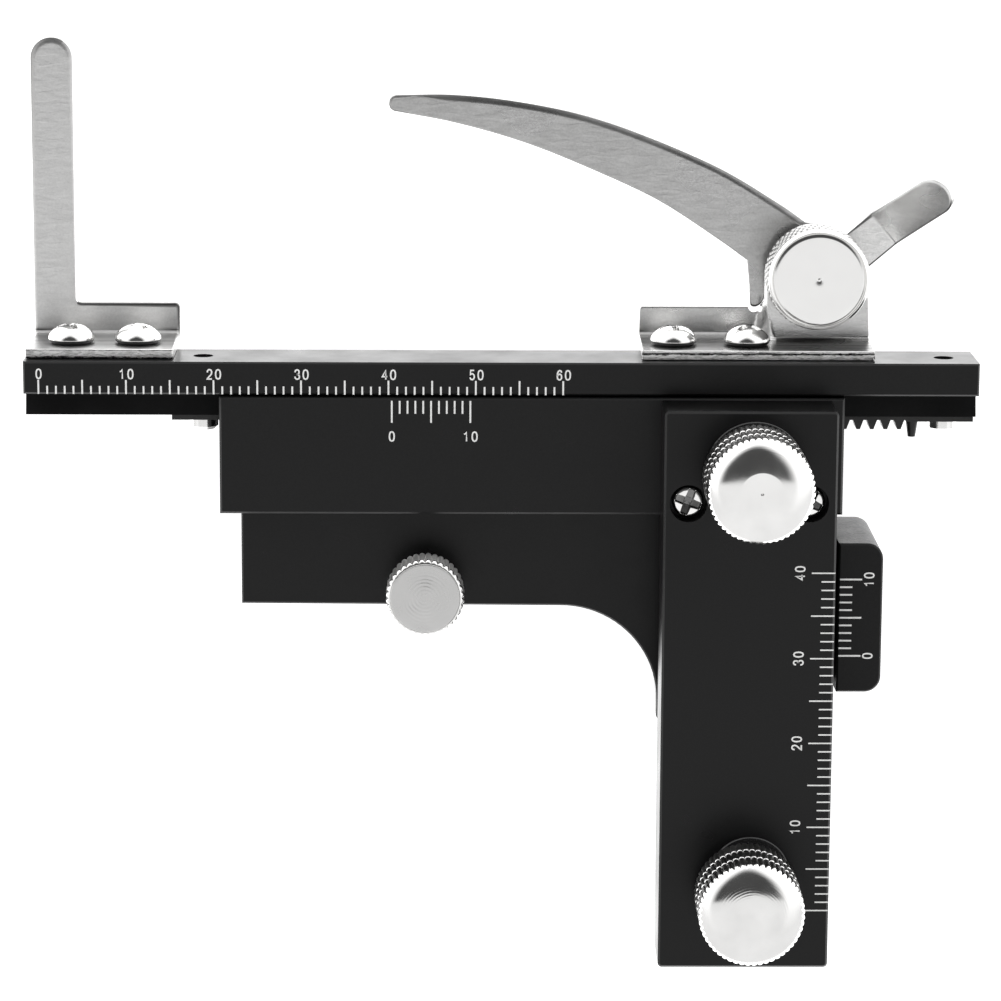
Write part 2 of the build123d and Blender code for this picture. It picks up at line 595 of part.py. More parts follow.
with BuildPart() as pivot_post:
    with BuildSketch(axis_plane(PIV_X, PIV_Y)):
        with BuildLine():
            Polyline((0, -14.45), (2.6, -14.45), (2.6, -14.05), (PIV_R, -14.05), (PIV_R, -5.4), (0, -5.4), (0, -14.45))
        make_face()
    revolve(axis=axis_at(PIV_X, PIV_Y))
keep(pivot_post, "pivot_post")

with BuildPart() as pivot_cap:
    with BuildSketch(axis_plane(PIV_X, PIV_Y)):
        with BuildLine():
            Polyline((PIV_R + 0.01, RAISED_Z), (5.5, RAISED_Z), (5.95, RAISED_Z + 0.5), (5.95, -4.7), (5.66, -4.35),
                     (5.66, -4.05), (5.4, -3.8), (5.3, -3.8), (5.2, -4.1), (0.4, -4.1), (0, -4.3), (0, -5.3),
                     (PIV_R + 0.01, -5.3), (PIV_R + 0.01, RAISED_Z))
        make_face()
    revolve(axis=axis_at(PIV_X, PIV_Y))
keep(pivot_cap, "pivot_cap")

# ---- spring finger -----------------------------------------------------------------------
OUTER = [(40.73, 32.53), (46.74, 32.58), (53.75, 31.95), (61.76, 30.44), (69.17, 28.06), (78.26, 24.21),
         (85.18, 20.15), (88.67, 17.75)]
INNER = [(81.87, 13.40), (78.39, 15.89), (71.45, 20.36), (63.84, 23.91), (55.78, 27.11), (47.75, 29.39),
         (40.45, 30.76)]
TAIL_DIR = (0.762, 0.648)
BEND = (97.92, 17.22)
TAIL_HW, TAB_LEN, TAB_DEG = 2.35, 10.6, 35.0
with BuildPart() as spring_finger:
    with BuildSketch(at_z(SHEET_Z - SHEET)):
        with BuildLine():
            Spline(*OUTER)
            Polyline(OUTER[-1], (92.0, 15.0), (88.0, 8.5), (83.95, 9.35), (83.2, 8.2), (82.4, 8.2), INNER[0])
            Spline(*INNER)
            ThreePointArc(INNER[-1], (39.86, 31.78), OUTER[0])
        make_face()
        with Locations((PIV_X, PIV_Y)):
            Circle(5.4)
        with BuildLine():
            n = (-TAIL_DIR[1], TAIL_DIR[0])
            s = -9.0
            Polyline(*[(BEND[0] + TAIL_DIR[0] * a + n[0] * b, BEND[1] + TAIL_DIR[1] * a + n[1] * b)
                       for a, b in ((0, TAIL_HW), (s, TAIL_HW), (s, -TAIL_HW), (0, -TAIL_HW), (0, TAIL_HW))])
        make_face()
    extrude(amount=SHEET)
    # thumb tab, bent up from the tail
    side = Plane(origin=(OX + BEND[0], OY + BEND[1], OZ + SHEET_Z), x_dir=(TAIL_DIR[0], TAIL_DIR[1], 0),
                 z_dir=(TAIL_DIR[1], -TAIL_DIR[0], 0))
    cb, sb = math.cos(math.radians(TAB_DEG)), math.sin(math.radians(TAB_DEG))
    with BuildSketch(side) as tab_side:
        with BuildLine():
            Polyline((-1.0, 0), (0, 0), (TAB_LEN * cb, TAB_LEN * sb), (TAB_LEN * cb + sb * SHEET, TAB_LEN * sb - cb * SHEET),
                     (math.tan(math.radians(TAB_DEG / 2)) * SHEET, -SHEET), (-1.0, -SHEET), (-1.0, 0))
        make_face()
    extrude(amount=TAIL_HW, both=True)
    end_edges = [e for e in spring_finger.edges() if e.length < 1.01 and e.length > 0.99
                 and e.center().Z > OZ + SHEET_Z + 4]
    fillet(end_edges, TAIL_HW - 0.05)
    # pivot hole with a shallow counterbore in the underside
    with BuildSketch(at_z(SHEET_Z)):
        with Locations((PIV_X, PIV_Y)):
            Circle(PIV_R + 0.04)
    extrude(amount=-3, mode=Mode.SUBTRACT)
    with BuildSketch(at_z(SHEET_Z - SHEET)):
        with Locations((PIV_X, PIV_Y)):
            Circle(2.65)
    extrude(amount=0.5, mode=Mode.SUBTRACT)
keep(spring_finger, "spring_finger")

# torsion spring round the post, between the finger and the raised plate
COIL_R, WIRE_R, COIL_PITCH, TURNS, COIL_LEG = 2.5, 0.28, 0.6, 3, 2.8
with BuildPart() as torsion_spring:
    z_start = SHEET_Z + 0.19 + WIRE_R
    with BuildLine():
        coil = Helix(pitch=COIL_PITCH, height=COIL_PITCH * TURNS, radius=COIL_R,
                     center=(OX + PIV_X, OY + PIV_Y, OZ + z_start))
    with BuildSketch(Plane(origin=coil @ 0, z_dir=coil % 0)):
        Circle(WIRE_R)
    sweep(path=coil)
    with BuildSketch(Plane(origin=coil @ 0, z_dir=coil % 0)):
        Circle(WIRE_R)
    extrude(amount=-COIL_LEG)
    with BuildSketch(Plane(origin=coil @ 1, z_dir=coil % 1)):
        Circle(WIRE_R)
    extrude(amount=COIL_LEG)
keep(torsion_spring, "torsion_spring")

os.makedirs("parts", exist_ok=True)
for name, shape in parts:
    export_step(shape, f"parts/{name}.step")
    print(name, "solids", len(shape.solids()), "volume %.1f" % shape.volume, "valid", shape.is_valid)
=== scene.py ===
import bpy
import bmesh
import json
import math
from mathutils import Matrix, Vector
from mathutils.geometry import tessellate_polygon

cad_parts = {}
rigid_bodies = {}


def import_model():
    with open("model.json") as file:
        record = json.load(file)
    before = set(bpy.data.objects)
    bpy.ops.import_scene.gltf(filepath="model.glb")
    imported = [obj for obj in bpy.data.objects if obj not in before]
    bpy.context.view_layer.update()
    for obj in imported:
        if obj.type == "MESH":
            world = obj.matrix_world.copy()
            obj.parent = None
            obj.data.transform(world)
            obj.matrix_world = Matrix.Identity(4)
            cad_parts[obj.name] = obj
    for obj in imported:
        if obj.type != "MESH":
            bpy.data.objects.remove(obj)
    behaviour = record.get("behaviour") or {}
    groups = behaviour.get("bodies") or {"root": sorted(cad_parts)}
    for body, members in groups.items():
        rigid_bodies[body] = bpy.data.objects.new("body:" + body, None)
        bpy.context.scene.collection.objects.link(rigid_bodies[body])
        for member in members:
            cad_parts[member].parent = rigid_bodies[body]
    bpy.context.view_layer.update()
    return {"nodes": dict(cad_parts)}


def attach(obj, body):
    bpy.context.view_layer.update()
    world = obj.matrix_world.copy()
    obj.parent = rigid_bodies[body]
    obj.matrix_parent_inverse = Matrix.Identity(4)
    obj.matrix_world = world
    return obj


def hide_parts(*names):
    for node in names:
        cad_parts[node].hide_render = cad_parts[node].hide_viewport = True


for o in list(bpy.data.objects):
    bpy.data.objects.remove(o)
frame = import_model()
NODES = frame["nodes"]
scene = bpy.context.scene

# Lengths below are in millimetres from the beam datum (zero line of the X scale, root of
# its ticks, front face of the beam) and are moved to the part's origin here.
OX, OY, OZ = -44.25, 23.0, 14.7
MM = 0.001


def P(x, y, z):
    return Vector(((x + OX) * MM, (y + OY) * MM, (z + OZ) * MM))


# ---------------------------------------------------------------- camera
TILT, YAW, ROLL = math.radians(11.5), math.radians(0.801), math.radians(0.293)
T = Matrix(((1, 0, 0), (0, math.cos(TILT), -math.sin(TILT)), (0, math.sin(TILT), math.cos(TILT))))
Y = Matrix(((math.cos(YAW), 0, math.sin(YAW)), (0, 1, 0), (-math.sin(YAW), 0, math.cos(YAW))))
R = Matrix(((math.cos(ROLL), -math.sin(ROLL), 0), (math.sin(ROLL), math.cos(ROLL), 0), (0, 0, 1)))
W = R @ Matrix(((1, 0, 0), (0, -1, 0), (0, 0, -1))) @ T @ Y
cam_data = bpy.data.cameras.new("camera")
cam_data.sensor_fit = "HORIZONTAL"
cam_data.sensor_width = 36.0
cam_data.lens = 141.17
cam_data.clip_start, cam_data.clip_end = 0.01, 20.0
cam = bpy.data.objects.new("camera", cam_data)
scene.collection.objects.link(cam)
right, up, back = W[0], -W[1], -W[2]
cam.matrix_world = Matrix(((right.x, up.x, back.x, 0.002447), (right.y, up.y, back.y, 0.100431),
                           (right.z, up.z, back.z, 0.457527), (0, 0, 0, 1)))
scene.camera = cam

# ---------------------------------------------------------------- light
GLOSS_FLOOR = 1.55
scene.view_settings.view_transform = "Standard"
scene.view_settings.look = "None"
scene.view_settings.exposure = 0.0

world = bpy.data.worlds.new("studio")
scene.world = world
world.use_nodes = True
nt = world.node_tree
nt.nodes.clear()


def wn(kind, **kw):
    n = nt.nodes.new(kind)
    for k, v in kw.items():
        setattr(n, k, v)
    return n


def wmath(op, a, b=None, c=None, clamp=False):
    n = wn("ShaderNodeMath", operation=op, use_clamp=clamp)
    for i, v in enumerate((a, b, c)):
        if v is None:
            continue
        if isinstance(v, (int, float)):
            n.inputs[i].default_value = v
        else:
            nt.links.new(v, n.inputs[i])
    return n.outputs[0]


def wstep(value, lo, hi):
    n = wn("ShaderNodeMapRange", interpolation_type="SMOOTHSTEP", clamp=True)
    nt.links.new(value, n.inputs["Value"])
    n.inputs["From Min"].default_value = lo
    n.inputs["From Max"].default_value = hi
    return n.outputs["Result"]


tc = wn("ShaderNodeTexCoord")
sep = wn("ShaderNodeSeparateXYZ")
nt.links.new(tc.outputs["Generated"], sep.inputs[0])
dx, dy, dz = sep.outputs
lean_y = wmath("MULTIPLY", wmath("ARCTAN2", dy, dz), 180 / math.pi)
lean_x = wmath("MULTIPLY", wmath("ARCTAN2", dx, dz), 180 / math.pi)
ex = wmath("DIVIDE", wmath("ADD", lean_x, 4.5), 37.0)
ey = wmath("DIVIDE", wmath("SUBTRACT", lean_y, 3.0), 50.0)
ell = wmath("SQRT", wmath("ADD", wmath("MULTIPLY", ex, ex), wmath("MULTIPLY", ey, ey)))
dark = wmath("MULTIPLY", wstep(lean_y, -3.5, 2.0), wmath("SUBTRACT", 1.0, wstep(ell, 0.80, 1.16)))
lamps = wmath("MULTIPLY", wstep(ell, 1.02, 1.30), wstep(lean_y, -40.0, 4.0))
level = wmath("ADD", wmath("SUBTRACT", 1.0, wmath("MULTIPLY", dark, 0.93)), wmath("MULTIPLY", lamps, 0.40))
env = wn("ShaderNodeBackground")
env.inputs["Color"].default_value = (1.0, 1.0, 1.0, 1)
nt.links.new(level, env.inputs["Strength"])
plain = wn("ShaderNodeBackground")
plain.inputs["Color"].default_value = (1.0, 1.0, 1.0, 1)
plain.inputs["Strength"].default_value = 1.0
lp = wn("ShaderNodeLightPath")
mix = wn("ShaderNodeMixShader")
nt.links.new(lp.outputs["Is Camera Ray"], mix.inputs[0])
nt.links.new(env.outputs[0], mix.inputs[1])
nt.links.new(plain.outputs[0], mix.inputs[2])
wout = wn("ShaderNodeOutputWorld")
nt.links.new(mix.outputs[0], wout.inputs["Surface"])

# ---------------------------------------------------------------- floor
fm = bpy.data.meshes.new("floor")
s = 3.0
fm.from_pydata([(-s, -s, 0), (s, -s, 0), (s, s, 0), (-s, s, 0)], [], [(0, 1, 2, 3)])
floor = bpy.data.objects.new("floor", fm)
floor.location.z = -0.00005
scene.collection.objects.link(floor)
m = bpy.data.materials.new("floor_paper")
m.use_nodes = True
ft = m.node_tree
ft.nodes.clear()
f_lp = ft.nodes.new("ShaderNodeLightPath")
f_dif = ft.nodes.new("ShaderNodeBsdfDiffuse")
f_dif.inputs["Color"].default_value = (0.86, 0.86, 0.86, 1)
f_em = ft.nodes.new("ShaderNodeEmission")
f_glow = ft.nodes.new("ShaderNodeMath")                 # white to the lens, brighter still in the gloss
f_glow.operation = "MULTIPLY_ADD"
f_glow.inputs[1].default_value = GLOSS_FLOOR
f_glow.inputs[2].default_value = 0.20
f_cam = ft.nodes.new("ShaderNodeMath")
f_cam.operation = "MULTIPLY_ADD"
f_cam.inputs[1].default_value = 0.60
f_add = ft.nodes.new("ShaderNodeAddShader")
f_out = ft.nodes.new("ShaderNodeOutputMaterial")
ft.links.new(f_lp.outputs["Is Glossy Ray"], f_glow.inputs[0])
ft.links.new(f_lp.outputs["Is Camera Ray"], f_cam.inputs[0])
ft.links.new(f_glow.outputs[0], f_cam.inputs[2])
ft.links.new(f_cam.outputs[0], f_em.inputs["Strength"])
ft.links.new(f_dif.outputs[0], f_add.inputs[0])
ft.links.new(f_em.outputs[0], f_add.inputs[1])
ft.links.new(f_add.outputs[0], f_out.inputs["Surface"])
fm.materials.append(m)


# ---------------------------------------------------------------- materials
class Mat:
    """Small helper round one node-based material."""

    def __init__(self, name):
        self.m = bpy.data.materials.new(name)
        self.m.use_nodes = True
        self.t = self.m.node_tree
        self.b = self.t.nodes["Principled BSDF"]
        self.tc = self.t.nodes.new("ShaderNodeTexCoord")

    def set(self, **kw):
        names = {"metallic": "Metallic", "ior": "IOR", "spec": "Specular IOR Level", "coat": "Coat Weight",
                 "coat_rough": "Coat Roughness", "aniso": "Anisotropic"}
        for k, v in kw.items():
            self.b.inputs[names[k]].default_value = v
        return self

    def n(self, kind, **kw):
        n = self.t.nodes.new(kind)
        for k, v in kw.items():
            setattr(n, k, v)
        return n

    def link(self, a, c):
        self.t.links.new(a, c)

    def mapped(self, loc=(0, 0, 0), scale=(1, 1, 1), rot=(0, 0, 0)):
        mp = self.n("ShaderNodeMapping")
        mp.inputs["Location"].default_value = loc
        mp.inputs["Rotation"].default_value = rot
        mp.inputs["Scale"].default_value = scale
        self.link(self.tc.outputs["Object"], mp.inputs["Vector"])
        return mp.outputs[0]

    def noise(self, scale, detail=2.0, rough=0.5, vec=None, distortion=0.0):
        n = self.n("ShaderNodeTexNoise")
        n.inputs["Scale"].default_value = scale
        n.inputs["Detail"].default_value = detail
        n.inputs["Roughness"].default_value = rough
        n.inputs["Distortion"].default_value = distortion
        self.link(vec if vec is not None else self.tc.outputs["Object"], n.inputs["Vector"])
        return n.outputs["Fac"]

    def math(self, op, a, c=None, d=None, clamp=False):
        n = self.n("ShaderNodeMath", operation=op, use_clamp=clamp)
        for i, v in enumerate((a, c, d)):
            if v is None:
                continue
            if isinstance(v, (int, float)):
                n.inputs[i].default_value = v
            else:
                self.link(v, n.inputs[i])
        return n.outputs[0]

    def remap(self, v, lo, hi, a=0.0, c=1.0):
        n = self.n("ShaderNodeMapRange", clamp=True)
        self.link(v, n.inputs["Value"])
        n.inputs["From Min"].default_value = lo
        n.inputs["From Max"].default_value = hi
        n.inputs["To Min"].default_value = a
        n.inputs["To Max"].default_value = c
        return n.outputs["Result"]

    def ramp(self, v, c0, c1, lo=0.0, hi=1.0):
        n = self.n("ShaderNodeValToRGB")
        n.color_ramp.elements[0].position = lo
        n.color_ramp.elements[1].position = hi
        n.color_ramp.elements[0].color = (*c0, 1)
        n.color_ramp.elements[1].color = (*c1, 1)
        self.link(v, n.inputs["Fac"])
        return n.outputs["Color"]

    def color(self, sock):
        self.link(sock, self.b.inputs["Base Color"])
        return self

    def rough(self, sock):
        self.link(sock, self.b.inputs["Roughness"])
        return self

    def bump(self, height, distance, strength=1.0, normal=None):
        n = self.n("ShaderNodeBump")
        n.inputs["Strength"].default_value = strength
        n.inputs["Distance"].default_value = distance
        self.link(height, n.inputs["Height"])
        if normal is not None:
            self.link(normal, n.inputs["Normal"])
        self.link(n.outputs[0], self.b.inputs["Normal"])
        return n.outputs[0]

def anodised(name, c0=0.0040, c1=0.0075, tint=0.36, r0=0.27, r1=0.37, side=0.0):
    """Black anodised aluminium over a fine bead-blasted grain: dark face on, bright at a glance."""
    q = Mat(name).set(metallic=0.0, spec=0.5, ior=1.58)
    q.b.inputs["Specular Tint"].default_value = (tint, tint, tint, 1)
    grain = q.noise(5200, 2.0, 0.6)
    broad = q.noise(160, 3.0, 0.55)
    both = q.math("ADD", q.math("MULTIPLY", grain, 0.65), q.math("MULTIPLY", broad, 0.35))
    base = q.ramp(both, (c0, c0, c0 * 1.03), (c1, c1, c1 * 1.04), 0.3, 0.7)
    if side:                                     # coarser blast grit on the walls, and a lighter mottled colour there as painted sheen
        sp = q.n("ShaderNodeSeparateXYZ")
        q.link(q.tc.outputs["Normal"], sp.inputs[0])
        wall = q.remap(q.math("ABSOLUTE", sp.outputs[2]), 0.3, 0.6, 1.0, 0.0)
        coarse = q.noise(2300, 3.0, 0.75)
        mx = q.n("ShaderNodeMix", data_type="RGBA")
        q.link(wall, mx.inputs["Factor"])
        q.link(base, mx.inputs["A"])
        # painted sheen: lighter mottled colour on the walls
        q.link(q.ramp(coarse, (0.0, 0.0, 0.0), (side, side, side * 1.02), 0.36, 0.66), mx.inputs["B"])
        base = mx.outputs["Result"]
    q.color(base)
    q.rough(q.remap(broad, 0.3, 0.7, r0, r1))
    first = q.bump(q.math("MULTIPLY", coarse, wall), 0.00006, 0.9) if side else None
    q.bump(grain, 0.000010, 0.5, first)
    return q.m


def nickel_sheet(name, c0=0.47, c1=0.60, r0=0.24, r1=0.34, dull=0.80):
    """Nickel-plated stamped sheet: soft ripple, fine pickle grain, and painted shade darkening rims, folds and flange
    faces (rim attribute).
    """
    q = Mat(name).set(metallic=1.0)
    ripple = q.noise(900, 3.0, 0.55, q.mapped(scale=(0.45, 1.5, 1.0)), 0.6)
    grain = q.noise(4600, 3.0, 0.65)
    broad = q.noise(70, 3.0, 0.5)
    tone = q.math("ADD", q.math("MULTIPLY", ripple, 0.35),
                  q.math("ADD", q.math("MULTIPLY", grain, 0.45), q.math("MULTIPLY", broad, 0.20)))
    base = q.ramp(tone, (c0, c0 * 0.997, c0 * 0.99), (c1, c1 * 0.997, c1 * 0.99), 0.34, 0.66)
    at = q.n("ShaderNodeAttribute", attribute_name="rim")
    ragged = q.math("ADD", at.outputs["Fac"], q.math("MULTIPLY", q.math("SUBTRACT", grain, 0.5), 0.35))
    worn = q.math("MULTIPLY", q.math("MULTIPLY", q.remap(ragged, 0.15, 0.85), at.outputs["Fac"], None), dull, None)
    # painted shade: the rim attribute mixes the plating towards near-black
    mx = q.n("ShaderNodeMix", data_type="RGBA")
    q.link(worn, mx.inputs["Factor"])
    q.link(base, mx.inputs["A"])
    mx.inputs["B"].default_value = (0.035, 0.034, 0.033, 1)
    q.color(mx.outputs["Result"])
    q.rough(q.remap(broad, 0.3, 0.7, r0, r1))
    first = q.bump(ripple, 0.00006, 0.35)
    q.bump(grain, 0.00001, 0.5, first)
    return q.m


def bright_nickel(name, axis=None, c0=0.80, c1=0.88, r0=0.10, r1=0.17, ring=0.10, pitch=0.22, grain_amt=0.25,
                  zone=None):
    """Turned nickel-plated brass; axis is the lathe axis (x, y), zone the radii (mm) where rings are plainest."""
    q = Mat(name).set(metallic=1.0)
    broad = q.noise(260, 3.0, 0.5)
    fine = q.noise(4200, 2.0, 0.5)
    q.color(q.ramp(broad, (c0, c0 * 0.995, c0 * 0.985), (c1, c1 * 0.995, c1 * 0.985), 0.3, 0.7))
    q.rough(q.remap(broad, 0.3, 0.7, r0, r1))
    first = q.bump(fine, 0.000006, grain_amt)
    if axis is not None:
        p = P(axis[0], axis[1], 0)
        sp = q.n("ShaderNodeSeparateXYZ")
        q.link(q.mapped(loc=(-p.x, -p.y, 0)), sp.inputs[0])
        rad = q.math("SQRT", q.math("ADD", q.math("MULTIPLY", sp.outputs[0], sp.outputs[0]),
                                    q.math("MULTIPLY", sp.outputs[1], sp.outputs[1])))
        wob = q.math("MULTIPLY", q.noise(700, 2.0, 0.5), 0.00016)
        wave = q.math("SINE", q.math("MULTIPLY", q.math("ADD", rad, wob), 2 * math.pi / (pitch * MM)))
        amt = q.remap(q.noise(380, 2.0, 0.6), 0.42, 0.62, 0.15, 1.0)
        wave = q.math("MULTIPLY", wave, amt)
        if zone:
            inner = q.remap(rad, zone[0] * MM, zone[1] * MM, 0.0, 1.0)
            outer = q.remap(rad, zone[2] * MM, zone[3] * MM, 1.0, 0.0)
            wave = q.math("MULTIPLY", wave, q.math("MULTIPLY", inner, outer))
        q.bump(wave, 0.000008, ring, first)
    return q.m


def steel(name, c0, c1, r0, r1, metallic=1.0, spec=0.5):
    q = Mat(name).set(metallic=metallic, spec=spec)
    grain = q.noise(3800, 2.0, 0.6)
    broad = q.noise(220, 3.0, 0.5)
    q.color(q.ramp(broad, (c0, c0, c0), (c1, c1, c1), 0.3, 0.7))
    q.rough(q.remap(grain, 0.3, 0.7, r0, r1))
    q.bump(grain, 0.00001, 0.35)
    return q.m


def sheared(name, bands):
    """Cut end of the sheet: a burnished band over darker bands from the tear attribute, a fracture and, on the pivot
    bracket, a painted shadow line along the lower edge.
    """
    q = Mat(name).set(metallic=1.0)
    streak = q.noise(1500, 4.0, 0.7, q.mapped(scale=(0.5, 2.2, 1.0)), 0.8)
    grain = q.noise(5200, 2.0, 0.6)
    at = q.n("ShaderNodeAttribute", attribute_name="tear")
    torn = 0.0
    for a0, a1, b0, b1, wobble in bands:
        edge = q.math("ADD", at.outputs["Fac"], q.math("MULTIPLY", q.math("SUBTRACT", streak, 0.5), wobble))
        band = q.math("MULTIPLY", q.remap(edge, a0, a1), q.remap(edge, b0, b1, 1.0, 0.0))
        torn = q.math("MAXIMUM", torn, band)
    mx = q.n("ShaderNodeMix", data_type="RGBA")
    q.link(torn, mx.inputs["Factor"])
    q.link(q.ramp(streak, (0.36, 0.36, 0.355), (0.92, 0.915, 0.91), 0.34, 0.56), mx.inputs["A"])
    q.link(q.ramp(grain, (0.012, 0.012, 0.012), (0.14, 0.14, 0.14), 0.42, 0.68), mx.inputs["B"])
    q.color(mx.outputs["Result"])
    q.rough(q.remap(streak, 0.3, 0.7, 0.3, 0.5))
    q.bump(streak, 0.00005, 0.7)
    return q.m


def paint(name):
    q = Mat(name).set(metallic=0.0, spec=0.3)
    n = q.noise(2600, 2.0, 0.6)
    q.color(q.ramp(n, (0.74, 0.74, 0.73), (0.88, 0.88, 0.87), 0.25, 0.6))
    q.rough(q.remap(n, 0.3, 0.7, 0.5, 0.7))
    q.bump(n, 0.00001, 0.3)
    return q.m


KX1, KY1 = 81.5, -8.05
KX2, KY2 = 81.3, -56.8
PIV = (89.5, 12.45)
THUMB = (44.25, -23.0)
MAT = {
    "black": anodised("black_anodised"),
    # side=0.05: painted sheen on the vernier block's walls, over coarser grit
    "black_part": anodised("black_blocks", 0.0045, 0.0085, 0.30, 0.42, 0.54, side=0.05),
    "ring": anodised("dark_ring", 0.012, 0.018, 0.9, 0.22, 0.32),
    "sheet": nickel_sheet("satin_nickel_sheet", 0.42, 0.60, dull=0.95),
    "finger": nickel_sheet("fixed_finger_nickel", 0.60, 0.76, 0.30, 0.40, dull=0.96),
    "bracket": nickel_sheet("pivot_bracket_nickel", 0.56, 0.74, 0.24, 0.32, dull=0.88),
    "cut": sheared("sheared_edge", [(0.72, 0.80, 2.0, 2.1, 0.9), (0.05, 0.08, 0.12, 0.15, 0.12)]),
    # its second band is a painted shadow line along the lower edge of the cut end
    "cut_r": sheared("sheared_edge_right", [(0.20, 0.25, 0.40, 0.46, 0.45), (0.88, 0.92, 2.0, 2.1, 0.1)]),
    "x_knob": bright_nickel("x_knob_nickel", (KX1, KY1), ring=0.05),
    "y_knob": bright_nickel("y_knob_nickel", (KX2, KY2), c0=0.74, c1=0.84, ring=0.30, pitch=0.30, zone=(1.6, 2.2, 3.8, 4.6)),
    "cap": bright_nickel("cap_nickel", PIV, c0=0.80, c1=0.86, ring=0.03),
    "thumb": bright_nickel("thumb_nickel", THUMB, c0=0.53, c1=0.61, r0=0.24, r1=0.32, ring=0.85, pitch=0.42,
                           zone=(0.0, 0.1, 2.0, 3.2)),
    # brighter copies of the thumb screw nickel: painted highlight on its top edge and teeth's sides
    "thumb_edge_highlight": bright_nickel("thumb_edge_highlight_nickel", None, c0=0.78, c1=0.88, r0=0.14, r1=0.22),
    "thumb_side_highlight": bright_nickel("thumb_side_highlight_nickel", None, c0=0.80, c1=0.92, r0=0.42, r1=0.55),
    # darker and brighter copies of the knob nickel: painted shade and painted highlight on the knurls
    "knurl_shaded": bright_nickel("knurl_shaded_nickel", None, c0=0.30, c1=0.42, r0=0.26, r1=0.36),
    "knurl_lit": bright_nickel("knurl_highlight_nickel", None, c0=0.86, c1=0.95, r0=0.30, r1=0.40),
    # darker and brighter copies of the cap nickel: painted shade on the knurl, painted highlight on the rim
    "cap_knurl_shaded": bright_nickel("cap_knurl_shaded_nickel", None, c0=0.40, c1=0.56, r0=0.30, r1=0.42),
    "cap_rim_highlight": bright_nickel("cap_rim_highlight_nickel", None, c0=0.93, c1=0.97, r0=0.16, r1=0.24),
    # darker copy of the screw nickel: painted shade in the cross recess
    "recess": bright_nickel("screw_recess_shaded_nickel", None, c0=0.08, c1=0.40, r0=0.20, r1=0.32, grain_amt=0.9),
    "head": bright_nickel("turned_screw_head", None, c0=0.88, c1=0.97, r0=0.10, r1=0.18, grain_amt=0.8),
    # brighter copy of the sheet nickel: painted highlight on the thumb tab
    "tab": nickel_sheet("thumb_tab_highlight_nickel", 0.67, 0.90, dull=0.97),
    "screw": bright_nickel("screw_nickel", None, c0=0.72, c1=0.84, r0=0.12, r1=0.2, grain_amt=0.6),
    "rack": steel("black_oxide_steel", 0.018, 0.035, 0.3, 0.5, 0.6),
    "shaft": steel("ground_steel", 0.42, 0.52, 0.2, 0.35),
    "spring": steel("spring_wire", 0.40, 0.50, 0.2, 0.3),
    "paint": paint("white_fill"),
}


def finish_with(obj, mat):
    obj.data.materials.clear()
    obj.data.materials.append(mat)


for node, key in {
    "base_bracket": "black", "y_vernier_block": "black_part", "y_block": "black", "x_body": "black", "x_beam": "black",
    "x_shaft_bush": "ring", "y_shaft_bush": "ring", "x_rack": "rack", "y_rack": "rack", "rack_stop_pins": "rack",
    "vernier_block_screws": "screw", "y_rack_screws": "screw", "x_rack_screws": "screw",
    "thumb_screw_washer": "screw", "x_pinion_shaft": "shaft", "y_pinion_shaft": "shaft",
    "x_knob_set_screw": "rack", "y_knob_set_screw": "rack", "pivot_post": "shaft", "torsion_spring": "spring",
    "carriage_screws": "screw", "bracket_screws": "screw", "thumb_screw": "thumb", "x_knob": "x_knob",
    "y_knob": "y_knob", "pivot_cap": "cap", "spring_finger": "sheet", "fixed_finger_bracket": "finger",
    "pivot_bracket": "bracket",
}.items():
    finish_with(NODES[node], MAT[key])


# ---------------------------------------------------------------- mesh helpers
def to_object(name, bm, mat, body, replaces=(), angle=32.0, weighted=True):
    """bmesh in datum millimetres -> object in the part's frame, riding on a body."""
    bmesh.ops.remove_doubles(bm, verts=bm.verts, dist=1e-4)
    bmesh.ops.recalc_face_normals(bm, faces=bm.faces)
    for v in bm.verts:
        v.co = P(*v.co)
    me = bpy.data.meshes.new(name)
    bm.to_mesh(me)
    bm.free()
    for p in me.polygons:
        p.use_smooth = True
    me.set_sharp_from_angle(angle=math.radians(angle))
    me.materials.append(mat)
    ob = bpy.data.objects.new(name, me)
    scene.collection.objects.link(ob)
    if weighted:
        wnm = ob.modifiers.new("flat_faces", "WEIGHTED_NORMAL")
        wnm.mode = "FACE_AREA"
        wnm.weight = 60
        wnm.keep_sharp = True
    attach(ob, body)
    if replaces:
        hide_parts(*replaces)
    return ob


def plate_bmesh(outlines, z0, z1, bevel, res=3):
    """Flat plate with rounded edges from closed outlines (first one outer, others holes)."""
    cu = bpy.data.curves.new("tmp", "CURVE")
    cu.dimensions = "2D"
    cu.fill_mode = "BOTH"
    for pts in outlines:
        sp = cu.splines.new("POLY")
        sp.points.add(len(pts) - 1)
        for q, (x, y) in zip(sp.points, pts):
            q.co = (x, y, 0, 1)
        sp.use_cyclic_u = True
    cu.extrude = (z1 - z0) / 2 - bevel
    cu.bevel_depth = bevel
    cu.bevel_resolution = res
    cu.offset = -bevel
    ob = bpy.data.objects.new("tmp", cu)
    scene.collection.objects.link(ob)
    bpy.context.view_layer.update()
    dg = bpy.context.evaluated_depsgraph_get()
    me = bpy.data.meshes.new_from_object(ob.evaluated_get(dg))
    bm = bmesh.new()
    bm.from_mesh(me)
    bpy.data.objects.remove(ob)
    bpy.data.curves.remove(cu)
    bpy.data.meshes.remove(me)
    bmesh.ops.remove_doubles(bm, verts=bm.verts, dist=1e-3)
    for v in bm.verts:
        v.co.z += (z0 + z1) / 2
    return bm


def arc_pts(cx, cy, r, a0, a1, n):
    return [(cx + r * math.cos(math.radians(a0 + (a1 - a0) * i / n)),
             cy + r * math.sin(math.radians(a0 + (a1 - a0) * i / n))) for i in range(n + 1)]


